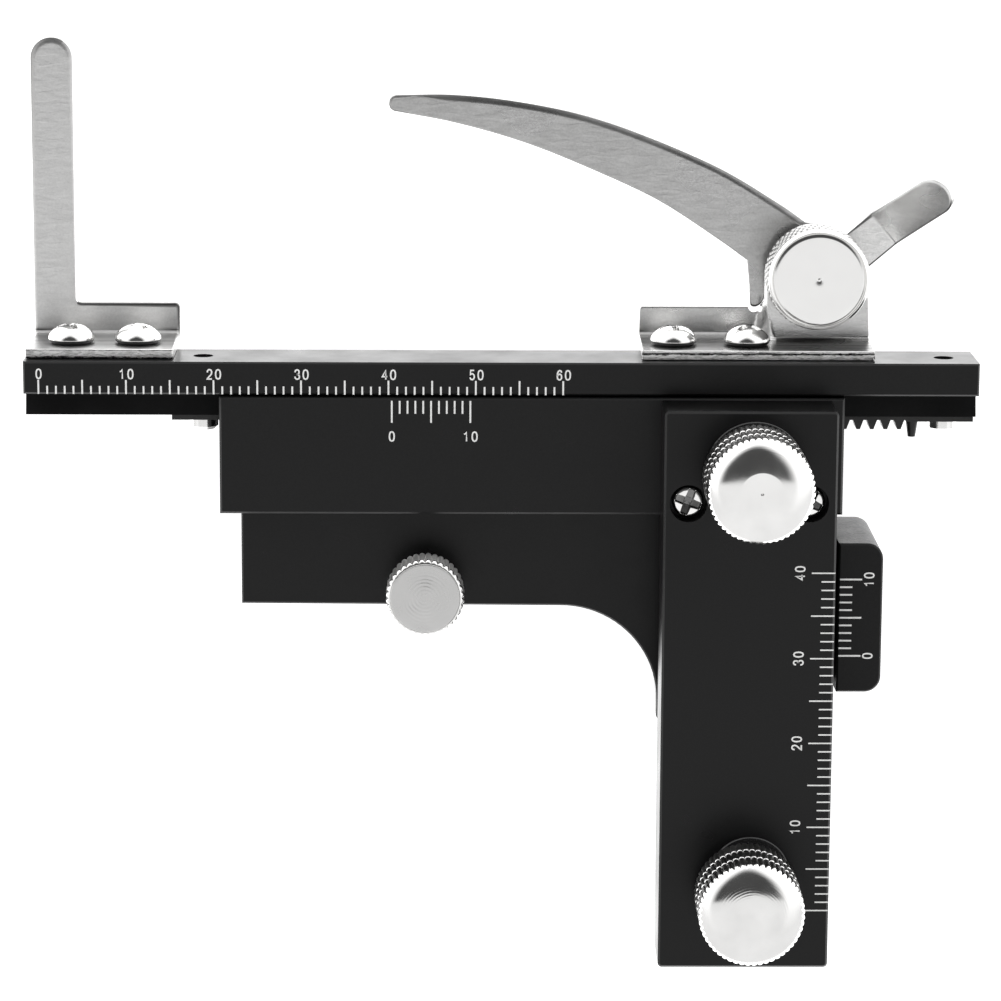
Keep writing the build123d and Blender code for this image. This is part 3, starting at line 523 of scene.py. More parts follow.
def catmull(pts, n=6):
    """Smooth line through points."""
    out = []
    ext = [tuple(2 * a - c for a, c in zip(pts[0], pts[1]))] + list(pts) + \
          [tuple(2 * a - c for a, c in zip(pts[-1], pts[-2]))]
    for i in range(1, len(ext) - 2):
        p0, p1, p2, p3 = ext[i - 1], ext[i], ext[i + 1], ext[i + 2]
        for k in range(n):
            t = k / n
            out.append(tuple(0.5 * ((2 * p1[j]) + (-p0[j] + p2[j]) * t + (2 * p0[j] - 5 * p1[j] + 4 * p2[j] - p3[j]) * t * t
                                    + (-p0[j] + 3 * p1[j] - 3 * p2[j] + p3[j]) * t ** 3) for j in range(2)))
    out.append(tuple(pts[-1]))
    return out


def round_corners(pts, radii, n=5):
    """Closed polygon with each corner i rounded to radii[i] (0 keeps it)."""
    out = []
    k = len(pts)
    for i in range(k):
        p, a, c = Vector(pts[i]), Vector(pts[i - 1]), Vector(pts[(i + 1) % k])
        r = radii[i] if not isinstance(radii, (int, float)) else radii
        if r <= 0:
            out.append(tuple(p))
            continue
        u, w = (a - p).normalized(), (c - p).normalized()
        ang = u.angle(w)
        if abs(ang - math.pi) < 1e-3:
            out.append(tuple(p))
            continue
        d = min(r / math.tan(ang / 2), (a - p).length * 0.49, (c - p).length * 0.49)
        r = d * math.tan(ang / 2)
        centre = p + (u + w).normalized() * (r / math.sin(ang / 2))
        s0, s1 = p + u * d, p + w * d
        a0 = math.atan2(s0.y - centre.y, s0.x - centre.x)
        a1 = math.atan2(s1.y - centre.y, s1.x - centre.x)
        da = (a1 - a0 + math.pi) % (2 * math.pi) - math.pi
        for j in range(n + 1):
            t = a0 + da * j / n
            out.append((centre.x + r * math.cos(t), centre.y + r * math.sin(t)))
    return out


def cut_at(bm, axis, value):
    no = Vector((0, 0, 0))
    no[axis] = 1
    co = Vector((0, 0, 0))
    co[axis] = value
    bmesh.ops.bisect_plane(bm, geom=bm.verts[:] + bm.edges[:] + bm.faces[:], dist=1e-5, plane_co=co, plane_no=no)


def cut_line(bm, point, normal):
    bmesh.ops.bisect_plane(bm, geom=bm.verts[:] + bm.edges[:] + bm.faces[:], dist=1e-5,
                           plane_co=Vector(point), plane_no=Vector(normal))


def lathe(profile, cx, cy, nseg, shape=None):
    """Closed turned body from (r, z) points; shape(theta, r, z, i) may change r."""
    bm = bmesh.new()
    rings = []
    for i, (r, z) in enumerate(profile):
        if r < 1e-6:
            rings.append([bm.verts.new((cx, cy, z))])
            continue
        ring = []
        for k in range(nseg):
            th = 2 * math.pi * k / nseg
            rr = shape(th, r, z, i) if shape else r
            ring.append(bm.verts.new((cx + rr * math.cos(th), cy + rr * math.sin(th), z)))
        rings.append(ring)
    for a, c in zip(rings, rings[1:]):
        for k in range(nseg):
            k2 = (k + 1) % nseg
            if len(a) == 1:
                bm.faces.new((a[0], c[k], c[k2]))
            elif len(c) == 1:
                bm.faces.new((a[k], c[0], a[k2]))
            else:
                bm.faces.new((a[k], c[k], c[k2], a[k2]))
    return bm


def circle3(p1, p2, p3):
    ax, ay, bx, by, cx, cy = *p1, *p2, *p3
    d = 2 * (ax * (by - cy) + bx * (cy - ay) + cx * (ay - by))
    ux = ((ax * ax + ay * ay) * (by - cy) + (bx * bx + by * by) * (cy - ay) + (cx * cx + cy * cy) * (ay - by)) / d
    uy = ((ax * ax + ay * ay) * (cx - bx) + (bx * bx + by * by) * (ax - cx) + (cx * cx + cy * cy) * (bx - ax)) / d
    return ux, uy, math.hypot(ax - ux, ay - uy)


def sheet_plate(loops, z0, z1, roll, low=0.08):
    """Stamped plate: closed loops (outer first), rolled-over top rim, vertex layer rim = how much painted shade it
    gets.
    roll(x, y, nx, ny) -> (width, depth factor, painted shade) from a rim point and its outward normal."""
    bm = bmesh.new()
    rim = bm.verts.layers.float.new("rim")
    top, bottom = [], []
    for li, pts in enumerate(loops):
        pts = [Vector(p) for p in pts]
        clean = [p for i, p in enumerate(pts) if (p - pts[i - 1]).length > 1e-3]
        area = sum(a.x * c.y - c.x * a.y for a, c in zip(clean, clean[1:] + clean[:1]))
        if (area < 0) == (li == 0):
            clean.reverse()
        k = len(clean)
        inward, spec = [], []
        for i, p in enumerate(clean):
            e0 = (p - clean[i - 1]).normalized()
            e1 = (clean[(i + 1) % k] - p).normalized()
            n0, n1 = Vector((-e0.y, e0.x)), Vector((-e1.y, e1.x))
            d = (n0 + n1) / max(0.35, 1 + n0.dot(n1))
            inward.append(d)
            o = -d.normalized()
            spec.append(roll(p.x, p.y, o.x, o.y))

        def ring(fn):
            out = []
            for p, d, (w, f, dull) in zip(clean, inward, spec):
                off, z, r = fn(w, f, dull)
                q = p + d * off
                v = bm.verts.new((q.x, q.y, z))
                v[rim] = r
                out.append(v)
            return out

        rings = [ring(lambda w, f, r: (low, z0, 0.0)), ring(lambda w, f, r: (0.0, z0 + low, r)),
                 ring(lambda w, f, r: (0.0, z1 - 0.22 * w * f - min(0.10, w * 0.5), r)),
                 ring(lambda w, f, r: (min(0.03, w * 0.15), z1 - 0.22 * w * f - min(0.03, w * 0.15), r))]
        for t in (0.0, 0.15, 0.32, 0.5, 0.68, 0.85, 1.0):
            rings.append(ring(lambda w, f, r, t=t: (min(0.10, w * 0.5) + (w - min(0.10, w * 0.5)) * t,
                                                    z1 - 0.22 * w * f * (1 - t) ** 1.8, r * (1 - t) ** 0.6)))
        for a, c in zip(rings, rings[1:]):
            for i in range(k):
                j = (i + 1) % k
                bm.faces.new((a[i], a[j], c[j], c[i]))
        bottom.append(rings[0])
        top.append(rings[-1])
    for side in (top, bottom):
        flat = [v for r in side for v in r]
        for tri in tessellate_polygon([[v.co for v in r] for r in side]):
            vs = [flat[i] for i in tri]
            if len(set(vs)) == 3:
                try:
                    bm.faces.new(vs)
                except ValueError:
                    pass
    return bm


def smooth(v, lo, hi):
    u = min(max((v - lo) / (hi - lo), 0.0), 1.0)
    return u * u * (3 - 2 * u)


def split_material(ob, mat, test):
    """Give the faces of a finished piece that pass test(centre, normal), in datum mm, a second material."""
    ob.data.materials.append(mat)
    o = P(0, 0, 0)
    for p in ob.data.polygons:
        c = (p.center - o) / MM
        if test(c, p.normal):
            p.material_index = len(ob.data.materials) - 1


# ---------------------------------------------------------------- knobs
LOBES = 52
SLOPES = [(2.40, 7.6), (3.0, 10.5), (3.9, 16.0), (4.75, 23.5), (5.3, 32.0), (5.7, 45.0), (5.95, 58.0), (6.04, 64.0)]
SLOPES_SOFT = [(1.7, 0.5), (2.3, 4.0), (3.0, 9.0), (3.9, 15.5), (4.75, 24.0), (5.3, 32.0), (5.7, 39.0), (5.88, 44.0), (5.97, 54.0), (6.04, 64.0)]


def dome(slopes, z_top):
    """(r, z) from the disc outwards along a table of slopes."""
    out, z = [], z_top
    r0 = slopes[0][0]
    n = 40
    r1 = slopes[-1][0]
    prev = r0
    out.append((r0, z))
    for i in range(1, n + 1):
        r = r0 + (r1 - r0) * i / n
        mid = (prev + r) / 2
        for (ra, sa), (rb, sb) in zip(slopes, slopes[1:]):
            if ra <= mid <= rb:
                s = sa + (sb - sa) * (mid - ra) / (rb - ra)
                break
        z -= math.tan(math.radians(s)) * (r - prev)
        out.append((r, z))
        prev = r
    return out


def knob(name, kx, ky, z_skirt, mat, body, replaced, disc_edge):
    line = dome(SLOPES if disc_edge else SLOPES_SOFT, 19.3)
    z_rim = line[-1][1]
    pts = [(0.0, 7.85), (3.3, 7.85), (3.5, 8.0), (3.5, z_skirt), (5.7, z_skirt)]
    knurl_from = len(pts)
    bands = 3
    step = (z_rim - z_skirt) / bands
    for k in range(bands):
        for d in (0.0, 0.05, 0.11, 0.18, 0.28, 0.5, 0.9):
            pts.append((6.04, z_skirt + step * k + d))
        for d in (0.9, 0.5, 0.28, 0.18, 0.11, 0.05):
            pts.append((6.04, z_skirt + step * (k + 1) - d))
    pts.append((6.04, z_rim))
    knurl_to = len(pts)
    for r, z in reversed(line[:-1]):
        pts.append((r, z))
    if disc_edge:
        pts += [(2.38, 19.3), (2.30, 19.3)]
    pts += [(1.4, 19.3), (0.5, 19.3)]
    pts += [(0.17, 19.29), (0.09, 19.15), (0.0, 19.1)] if disc_edge else [(0.17, 19.3), (0.0, 19.3)]

    def shape(th, r, z, i):
        if i < knurl_from or r < 5.0:
            return r
        u = (th * LOBES / (2 * math.pi)) % 1.0 * 2 - 1
        lobe = 1 - math.sqrt(max(0.0, 1 - (u * 0.97) ** 2))
        if i >= knurl_to:
            fade = max(0.0, 1 - (6.04 - r) / 0.36)
            return r - 0.30 * lobe * fade
        s = (z - z_skirt) % step
        s = min(s, step - s)
        if abs(z - z_skirt) < 1e-6 or abs(z - z_rim) < 1e-6:
            s = 0.0
        g = 1 - math.sqrt(max(0.0, 1 - max(0.0, 1 - s / 0.28) ** 2))
        if z > z_rim - step / 2:
            g *= 0.12
        return r - 0.30 * lobe * (1 - 0.3 * g) - 0.34 * g

    bm = lathe(pts, kx, ky, LOBES * 10, shape)
    ob = to_object(name, bm, mat, body, replaced, angle=50, weighted=False)
    # painted shade and painted highlight: the knurl's faces take a darker copy of the nickel, those turned upwards a
    # bright copy
    split_material(ob, MAT["knurl_shaded"], lambda c, n: z_skirt + 0.05 < c.z < z_rim - 0.12)
    split_material(ob, MAT["knurl_lit"], lambda c, n: z_skirt + 0.05 < c.z < z_rim - 0.12 and n.z > 0.30)
    return ob


knob("x_knob_knurled", KX1, KY1, 9.0, MAT["x_knob"], "x_drive", ["x_knob"], True)
knob("y_knob_knurled", KX2, KY2, 9.3, MAT["y_knob"], "y_drive", ["y_knob"], False)

# ---------------------------------------------------------------- pivot cap
CAP_N = 50
cap_pts = [(0.0, -9.7), (5.3, -9.7), (5.45, -9.62), (5.55, -9.45)]
cap_from = len(cap_pts)
CAP_BANDS, CAP_Z0, CAP_Z1 = 4, -9.35, -4.62
cap_step = (CAP_Z1 - CAP_Z0) / CAP_BANDS
for k in range(CAP_BANDS):
    for d in (0.0, 0.08, 0.2, 0.36):
        cap_pts.append((5.97, CAP_Z0 + cap_step * k + d))
    for d in (0.36, 0.2, 0.08):
        cap_pts.append((5.97, CAP_Z0 + cap_step * (k + 1) - d))
cap_pts.append((5.97, CAP_Z1))
cap_to = len(cap_pts)
cap_pts += [(5.82, -4.5), (5.82, -4.15), (5.80, -4.07), (5.75, -4.00), (5.66, -3.93), (5.56, -3.86), (5.49, -3.812),
            (5.46, -3.80), (5.435, -3.83), (5.42, -3.95), (5.42, -4.24)]
for i in range(9):
    r = 5.42 - 0.54 * i / 8
    cap_pts.append((r, -4.1 - 0.14 * ((r - 4.88) / 0.54) ** 1.6))
cap_pts += [(4.6, -4.1), (3.0, -4.1), (1.0, -4.1), (0.30, -4.1), (0.26, -4.11), (0.22, -4.13),
            (0.17, -4.13), (0.13, -4.11), (0.08, -4.10), (0.0, -4.10)]


def cap_shape(th, r, z, i):
    if cap_from <= i < cap_to:
        band = min(int((z - CAP_Z0) / cap_step + 1e-6), CAP_BANDS - 1)
        u = (th * CAP_N / (2 * math.pi) + 0.5 * (band % 2)) % 1.0 * 2 - 1
        s = (z - CAP_Z0) % cap_step
        s = min(s, cap_step - s)
        if abs(z - CAP_Z0) < 1e-6 or abs(z - CAP_Z1) < 1e-6:
            s = 0.0
        lobe = 1 - math.sqrt(max(0.0, 1 - (u * 0.97) ** 2))
        g = 1 - math.sqrt(max(0.0, 1 - max(0.0, 1 - s / 0.5) ** 2))
        return r - 0.30 * lobe - 0.30 * g
    return r


ob = to_object("pivot_cap_knurled", lathe(cap_pts, PIV[0], PIV[1], CAP_N * 8, cap_shape), MAT["cap"], "x_slide",
               ["pivot_cap"], angle=50, weighted=False)
# painted shade on the cap's knurl and painted highlight on its rim, as darker and brighter copies of the cap nickel
split_material(ob, MAT["cap_knurl_shaded"], lambda c, n: c.z < -4.55 and math.hypot(c.x - PIV[0], c.y - PIV[1]) > 5.5)
split_material(ob, MAT["cap_rim_highlight"], lambda c, n: c.z >= -4.55 and math.hypot(c.x - PIV[0], c.y - PIV[1]) > 5.44)

# ---------------------------------------------------------------- thumb screw
TEETH = 36
th_pts = [(0.0, -14.5), (1.1, -14.5), (1.5, -14.1)]
zz = -14.1
while zz < 0.0:  # M3 thread
    th_pts += [(1.5, zz + 0.06), (1.24, zz + 0.25), (1.5, zz + 0.44)]
    zz += 0.5
th_pts += [(1.3, 0.38), (2.2, 0.42), (2.2, 1.1), (3.9, 1.1)]
tf = len(th_pts)
th_pts += [(4.15, 1.1), (4.44, 1.35), (4.48, 1.6), (4.48, 3.2), (4.48, 4.6), (4.48, 5.0), (4.45, 5.10), (4.34, 5.24)]
tt = len(th_pts) - 1
th_pts += [(4.20, 5.33), (4.06, 5.395), (4.03, 5.40), (4.01, 5.355), (3.985, 5.40), (3.96, 5.45), (3.93, 5.47), (3.86, 5.475),
           (3.6, 5.475), (3.0, 5.475), (2.0, 5.48), (1.0, 5.48), (0.3, 5.48), (0.0, 5.48)]


def thumb_shape(th, r, z, i):
    if not tf <= i <= tt:
        return r
    u = abs((th * TEETH / (2 * math.pi)) % 1.0 - 0.5) * 2       # 0 at crest .. 1 in the valley
    depth = 0.40 if tf < i < tt - 1 else (0.36 if i == tt - 1 else 0.22)
    return r - depth * (1 - math.sqrt(max(0.0, 1 - (u * 0.985) ** 2)))


ob = to_object("thumb_screw_knurled", lathe(th_pts, THUMB[0], THUMB[1], TEETH * 14, thumb_shape), MAT["thumb"],
               "clamp_screw_body", ["thumb_screw"], angle=38, weighted=False)
# painted highlight: the top edge and the teeth's sides take brighter copies of the thumb screw's nickel
split_material(ob, MAT["thumb_edge_highlight"], lambda c, n: math.hypot(c.x - THUMB[0], c.y - THUMB[1]) > 4.0 and c.z > 4.9)
split_material(ob, MAT["thumb_side_highlight"], lambda c, n: math.hypot(c.x - THUMB[0], c.y - THUMB[1]) > 3.72 and 1.2 < c.z <= 4.9)


# ---------------------------------------------------------------- screws
def cross_head(bm, centre, axis, u, radius, profile, arm_w, arm_l, depth, turn, rings=46, segs=132):
    """Screw head: profile(rho) is the height of its upper side; a cross recess is pressed into it."""
    axis, u = Vector(axis), Vector(u)
    v = axis.cross(u)
    ct, st = math.cos(math.radians(turn)), math.sin(math.radians(turn))
    rows = []
    for j in range(rings + 1):
        rho = radius * (j / rings) ** 0.9
        row = []
        for k in range(segs if j else 1):
            a = 2 * math.pi * k / segs
            x, y = rho * math.cos(a), rho * math.sin(a)
            p, q = x * ct + y * st, -x * st + y * ct
            h = profile(rho)
            cut = 0.0
            for m, s in ((p, q), (q, p)):
                wide = arm_w / 2 * (1 - 0.18 * abs(m) / (arm_l / 2))
                inside = smooth(wide - abs(s), -0.02, 0.07) * smooth(arm_l / 2 - abs(m), -0.02, 0.12)
                cut = max(cut, inside * depth * (1 - 0.42 * (abs(m) / (arm_l / 2)) ** 1.5))
            row.append(bm.verts.new(Vector(centre) + u * x + v * y + axis * (h - cut)))
        rows.append(row)
    for k in range(segs):
        bm.faces.new((rows[0][0], rows[1][k], rows[1][(k + 1) % segs]))
    for a, c in zip(rows[1:], rows[2:]):
        for k in range(segs):
            bm.faces.new((a[k], c[k], c[(k + 1) % segs], a[(k + 1) % segs]))
    return rows[-1], u, v, axis


def close_below(bm, ring, centre, u, v, axis, steps):
    """Carry the rim of a head down through (radius, height) steps to a closed shank end."""
    segs = len(ring)
    prev = ring
    for r, h in steps:
        if r < 1e-6:
            tip = bm.verts.new(Vector(centre) + axis * h)
            for k in range(segs):
                bm.faces.new((prev[k], tip, prev[(k + 1) % segs]))
            return
        row = []
        for k in range(segs):
            a = 2 * math.pi * k / segs
            row.append(bm.verts.new(Vector(centre) + u * (r * math.cos(a)) + v * (r * math.sin(a)) + axis * h))
        for k in range(segs):
            bm.faces.new((prev[k], row[k], row[(k + 1) % segs], prev[(k + 1) % segs]))
        prev = row


FLANGE_Y = 4.53
BRACKET_X = (3.25, 10.95, 72.95, 81.45)
bm = bmesh.new()
for i, x in enumerate(BRACKET_X):
    c = (x, FLANGE_Y, -6.5)
    R, H = 2.68, 2.25

    def head(rho, R=R, H=H):
        return 0.62 + (H - 0.62) * (1 - (rho / R) ** 2.3) ** 0.62

    ring, u, v, axis = cross_head(bm, c, (0, 1, 0), (1, 0, 0), R, head, 0.8, 3.3, 1.1, (20, 38, 8, 52)[i])
    close_below(bm, ring, c, u, v, axis, [(2.68, 0.52), (2.60, 0.32), (2.46, 0.16), (2.3, 0.0), (1.0, 0.0), (1.0, -2.6), (0.0, -2.9)])
ob = to_object("bracket_screw_set", bm, MAT["screw"], "x_slide", ["bracket_screws"], angle=40, weighted=False)
# painted shadow: the head's lower lip takes the black oxide material as a dark line under the head
split_material(ob, MAT["rack"], lambda c, n: c.y < FLANGE_Y + 0.46)

bm = bmesh.new()
CARRIAGE = ((74.1, -11.5), (87.9, -11.5))
HEAD_R = 1.82


def low_head(rho):
    return 0.75 + 0.95 * (1 - (rho / HEAD_R) ** 13) ** 0.5


for i, (x, y) in enumerate(CARRIAGE):
    c = (x, y, 4.7)
    ring, u, v, axis = cross_head(bm, c, (0, 0, 1), (1, 0, 0), HEAD_R, low_head, 1.0, 3.0, 0.80, (-20, -28)[i])
    close_below(bm, ring, c, u, v, axis, [(HEAD_R, 0.6), (HEAD_R - 0.03, 0.1), (HEAD_R - 0.1, 0.0), (0.98, 0.0), (0.98, -9.6), (0.0, -9.9)])
ob = to_object("carriage_screw_set", bm, MAT["head"], "y_carriage", ["carriage_screws"], angle=40, weighted=False)


def in_recess(c, n):
    rho = min(math.hypot(c.x - x, c.y - y) for x, y in CARRIAGE)
    return rho < 1.54 and 4.7 < c.z < 4.7 + low_head(rho) - 0.10


# painted shade: the cross recess takes a darker copy of the nickel
split_material(ob, MAT["recess"], in_recess)

# ---------------------------------------------------------------- spring finger
OUTER = [(40.73, 32.60), (46.74, 32.68), (53.75, 32.05), (61.76, 30.54), (69.17, 28.16), (78.26, 24.31),
         (85.18, 20.25), (88.67, 17.85)]
INNER = [(81.87, 13.40), (78.39, 15.89), (71.45, 20.36), (63.84, 23.91), (55.78, 27.11), (47.75, 29.39),
         (40.45, 30.76)]
TAIL = Vector((0.762, 0.648)).normalized()
BEND = Vector((97.92, 17.22))
side = Vector((-TAIL.y, TAIL.x))
outline = catmull(OUTER, 6)
root_up = BEND + side * 2.35 - TAIL * 5.2
outline += [(90.6, 17.75), tuple(root_up)]
tab = 10.6
up_edge = BEND + side * 2.35
lo_edge = BEND - side * 2.35
outline.append(tuple(up_edge))
c = BEND + TAIL * (tab - 2.35)
a_dir = math.degrees(math.atan2(TAIL.y, TAIL.x))
outline += [(c.x + 2.35 * math.cos(math.radians(a)), c.y + 2.35 * math.sin(math.radians(a)))
            for a in [a_dir + 90 - 12 * k for k in range(16)]]
outline.append(tuple(lo_edge))
outline += [tuple(BEND - side * 2.35 - TAIL * 6.0)]
outline += arc_pts(PIV[0], PIV[1], 5.4, -35, -140, 16)
outline += [(83.97, 9.2), (83.9, 8.78), (83.66, 8.36), (83.3, 8.03), (82.95, 7.88), (82.6, 7.88), (82.36, 8.06), (82.26, 8.4),
            (82.15, 10.6)]
outline += catmull(INNER, 6)
outline += [(40.02, 31.05), (39.86, 31.55), (39.96, 32.12), (40.30, 32.46)]
hole = arc_pts(PIV[0], PIV[1], 1.66, 0, 345, 23)


# third value: amount of painted shade along that stretch of rim
def finger_roll(x, y, nx, ny):
    if math.hypot(x - PIV[0], y - PIV[1]) < 2.0:
        return 0.12, 0.5, 0.0
    if x < 42.5:
        return 0.26, 1.0, 0.69
    if y < 9.6 and (ny < -0.35 or nx > 0.6) and x < 86.0:    # heel
        return 0.28, 1.0, 1.0
    if y < 12.0 and x < 92.0:
        return 0.16, 0.8, 0.2
    if x > 93.2:                                             # thumb tab: across = +1 on its upper edge
        across = ny * 0.762 - nx * 0.648
        dull = max(1.0 - smooth(across, -0.80, -0.40), 0.85 * smooth(across, 0.4, 0.7) * (1 - smooth(x, 97.2, 98.2)))
        return 0.28 + 0.12 * smooth(across, -0.9, -0.2), 1.0, dull
    if ny > 0.15 and x < 90.0:                               # long outer edge, rolled over in the press
        return 0.12 + 0.66 * smooth(ny, 0.15, 0.5) * smooth(x, 42.5, 47.0), 1.0, 0.57
    return 0.15, 0.6, 0.42


bm = sheet_plate([outline, hole], -14.5, -13.5, finger_roll)
TAB = math.radians(35.0)
RB = 1.2
for k in range(9):
    d = RB * TAB * (k / 8 - 0.5)
    pt = BEND + TAIL * d
    cut_line(bm, (pt.x, pt.y, 0), (TAIL.x, TAIL.y, 0))
mid_z = -14.0
for v in bm.verts:
    q = Vector((v.co.x, v.co.y)) - BEND
    s = q.dot(TAIL)
    t = q.dot(side)
    n = v.co.z - mid_z
    s0 = -RB * TAB / 2
    if s > s0 and s > -3:
        f = min((s - s0) / (RB * TAB), 1.0) * TAB
        rest = max(0.0, s - s0 - RB * TAB)
        ss = s0 + RB * math.sin(f) + rest * math.cos(f) - n * math.sin(f)
        zz = RB * (1 - math.cos(f)) + rest * math.sin(f) + n * math.cos(f)
        pos = BEND + TAIL * ss + side * t
        v.co = Vector((pos.x, pos.y, mid_z + zz))
ob = to_object("spring_finger_sheet", bm, MAT["sheet"], "finger", ["spring_finger"], angle=30)
# painted highlight: the bent thumb tab takes a brighter copy of the sheet nickel
split_material(ob, MAT["tab"], lambda c, n: (c.x - BEND.x) * TAIL.x + (c.y - BEND.y) * TAIL.y > -4.6 and c.x > 93.0)


# ---------------------------------------------------------------- brackets
def l_map(v, y_face, t, r_in, z_mid, thick=0.15):
    """Flat pattern -> L: v.y below the bend goes up the flange, v.z is through the sheet."""
    r = r_in + t / 2                                  # neutral radius
    y_b = y_face + t / 2 + r                          # where the bend starts on the plate
    n = v.z - z_mid
    s = y_b - v.y
    if s <= 0:
        return Vector((v.x, v.y, v.z))
    arc = r * math.pi / 2
    u = min(s / arc, 1.0)
    f = u * math.pi / 2
    n += thick * (n + 0.5) * u
    rest = max(0.0, s - arc)
    y = y_b - (r - n) * math.sin(f)
    z = z_mid + r - (r - n) * math.cos(f)
    if rest > 0:
        y = y_b - (r - n)
        z = z_mid + r + rest
    return Vector((v.x, y, z))


def round_flange(v, x0, x1, r0, r1, y_face, z_from):
    """Round the flange's corners next to the beam, seen from above."""
    if v.z < z_from:
        return v
    for xe, r, s in ((x0, r0, 1), (x1, r1, -1)):
        d = (v.x - xe) * s
        if 0 <= d < r:
            y_min = y_face + r - math.sqrt(max(0.0, r * r - (r - d) ** 2))
            k = min(1.0, (v.z - z_from) / 2.0)
            if v.y < y_min:
                v.y += (y_min - v.y) * k
    return v


def bend_shade(bm, y_b, amount):
    """Painted shade along the fold of the sheet."""
    rim = bm.verts.layers.float["rim"]
    for v in bm.verts:
        d = y_b - v.co.y
        if -0.3 < d < 0.75 and v.co.z > -14.0:
            v[rim] = max(v[rim], amount(v.co.x) * (1 - abs(d - 0.2) / 0.6))


def flange_shade(bm, y_b, y_end, amount):
    """Painted shade in streaks across the inside of the folded-up flange."""
    rim = bm.verts.layers.float["rim"]
    for v in bm.verts:
        if v.co.z > -14.0 and y_end + 0.12 < v.co.y < y_b - 0.5:
            v[rim] = max(v[rim], amount(v.co.x) * (0.82 + 0.18 * math.sin(v.co.y * 3.1 + 0.6)))


def tear_layer(bm, y0, y1, z_top):
    layer = bm.verts.layers.float.new("tear")
    for v in bm.verts:
        v[layer] = min(max((y1 - v.co.y) / (y1 - y0), 0.0), 1.0) if v.co.z > z_top - 0.3 else 0.0


t, r_in = 1.0, 0.7
Z_FLANGE = -1.9
r_mid = r_in + t / 2
y_b = 3.38 + t / 2 + r_mid
flange_len = Z_FLANGE - (-14.0 + r_mid)
y_flat_end = y_b - r_mid * math.pi / 2 - flange_len

outline = round_corners(
    [(-1.66, y_flat_end), (15.3, y_flat_end), (15.3, 8.08), (3.18, 8.08), (3.18, 39.12), (-1.66, 39.12)],
    [0.15, 0.2, 0.6, 0.6, 2.37, 2.37], 14)


# third value: amount of painted shade along that stretch of rim
def fixed_roll(x, y, nx, ny):
    if y < 3.0:
        return 0.15, 0.8, 0.0
    if y > 35.5:
        k = smooth(y, 35.5, 37.5)
        return 0.34 + 0.38 * k, 1.0, 0.74 if nx < 0.55 else 0.46
    if nx < -0.7:
        return 0.34, 1.0, 0.74
    if nx > 0.7 and x < 4.0:
        return 0.13, 0.4, 0.1
    if x > 14.2 and y > 6.6:
        return 0.50, 1.0, 1.0
    if ny > 0.6:
        return 0.30, 0.9, 1.0
    return 0.14, 0.5, 0.25


bm = sheet_plate([outline], -14.5, -13.5, fixed_roll)
for k in range(11):
    cut_at(bm, 1, y_b - r_mid * math.pi / 2 * k / 10)
for d in (0.05, 0.12, 0.25, 0.4, 0.6):
    cut_at(bm, 0, -1.66 + d)
    cut_at(bm, 0, 15.3 - d)
for x in (-0.6, 0.8, 3.0, 6.0, 9.0, 12.0, 14.2):
    cut_at(bm, 0, x)
cut_at(bm, 1, y_b + 0.45)
for k in range(1, 9):
    cut_at(bm, 1, y_b - r_mid * math.pi / 2 - flange_len * k / 9)
bend_shade(bm, y_b, lambda x: 0.42 + 0.50 * (1 - smooth(x, -0.4, 2.2)) + 0.50 * smooth(x, 12.6, 14.6))
flange_shade(bm, y_b, y_flat_end, lambda x: 0.66)
for v in bm.verts:
    v.co = round_flange(l_map(v.co, 3.38, t, r_in, -14.0), -1.66, 15.3, 0.3, 0.5, 3.38, -9.0)
tear_layer(bm, 3.38, FLANGE_Y, Z_FLANGE)
ob = to_object("fixed_finger_sheet", bm, MAT["finger"], "x_slide", ["fixed_finger_bracket"], angle=30)
split_material(ob, MAT["cut"], lambda c, n: c.z > Z_FLANGE - 0.25 and n.z > 0.75)

# pivot bracket: low plate, a fan-shaped step up, raised plate under the cap, one flange
PX0, PX1 = 68.74, 95.88
outline = [(PX0, y_flat_end), (PX1, y_flat_end), (95.95, y_b + 0.2), (95.8, 9.4), (95.3, 11.0)]
outline = round_corners(outline + [(95.2, 12.45)], [0.15, 0.15, 0, 0, 0, 0], 6)
outline += arc_pts(PIV[0], PIV[1], 5.7, 0, 180, 30)[1:]
outline += [(83.8, 9.0), (83.62, 8.55)]
outline += arc_pts(82.76, 7.93, 0.68, 8, -172, 16)
outline += [(81.98, 7.86), (69.75, 7.86), (69.52, 7.80), (69.38, 7.64), (69.33, 7.4), (69.28, 5.0)]


# third value: amount of painted shade along that stretch of rim
def pivot_roll(x, y, nx, ny):
    if y < 3.0:
        return 0.15, 0.8, 0.0
    if ny > 0.7 and x < 82.2:
        return 0.14, 0.9, 0.75
    if x > 95.0:
        return 0.13, 0.6, 0.15
    return 0.10, 0.6, 0.3


bm = sheet_plate([outline], -14.5, -13.5, pivot_roll)
for k in range(11):
    cut_at(bm, 1, y_b - r_mid * math.pi / 2 * k / 10)
for y in (5.1, 5.7, 6.3, 6.9, 7.4):
    cut_at(bm, 1, y)
for k in range(28):
    cut_at(bm, 0, 82.5 + 2.7 * k / 27)
for d in (0.05, 0.12, 0.25, 0.45, 0.7, 0.9):
    cut_at(bm, 0, PX0 + d)
    cut_at(bm, 0, PX1 - d)
for k in range(1, 9):
    cut_at(bm, 1, y_b - r_mid * math.pi / 2 - flange_len * k / 9)
for x in (71.0, 75.0, 79.0, 87.0, 90.0, 93.0):
    cut_at(bm, 0, x)
bend_shade(bm, y_b, lambda x: 0.30 + 0.55 * (1 - smooth(x, 69.4, 71.2)))
flange_shade(bm, y_b, y_flat_end, lambda x: 0.68 + 0.26 * smooth(x, 84.2, 86.0))
LIFT = 3.8
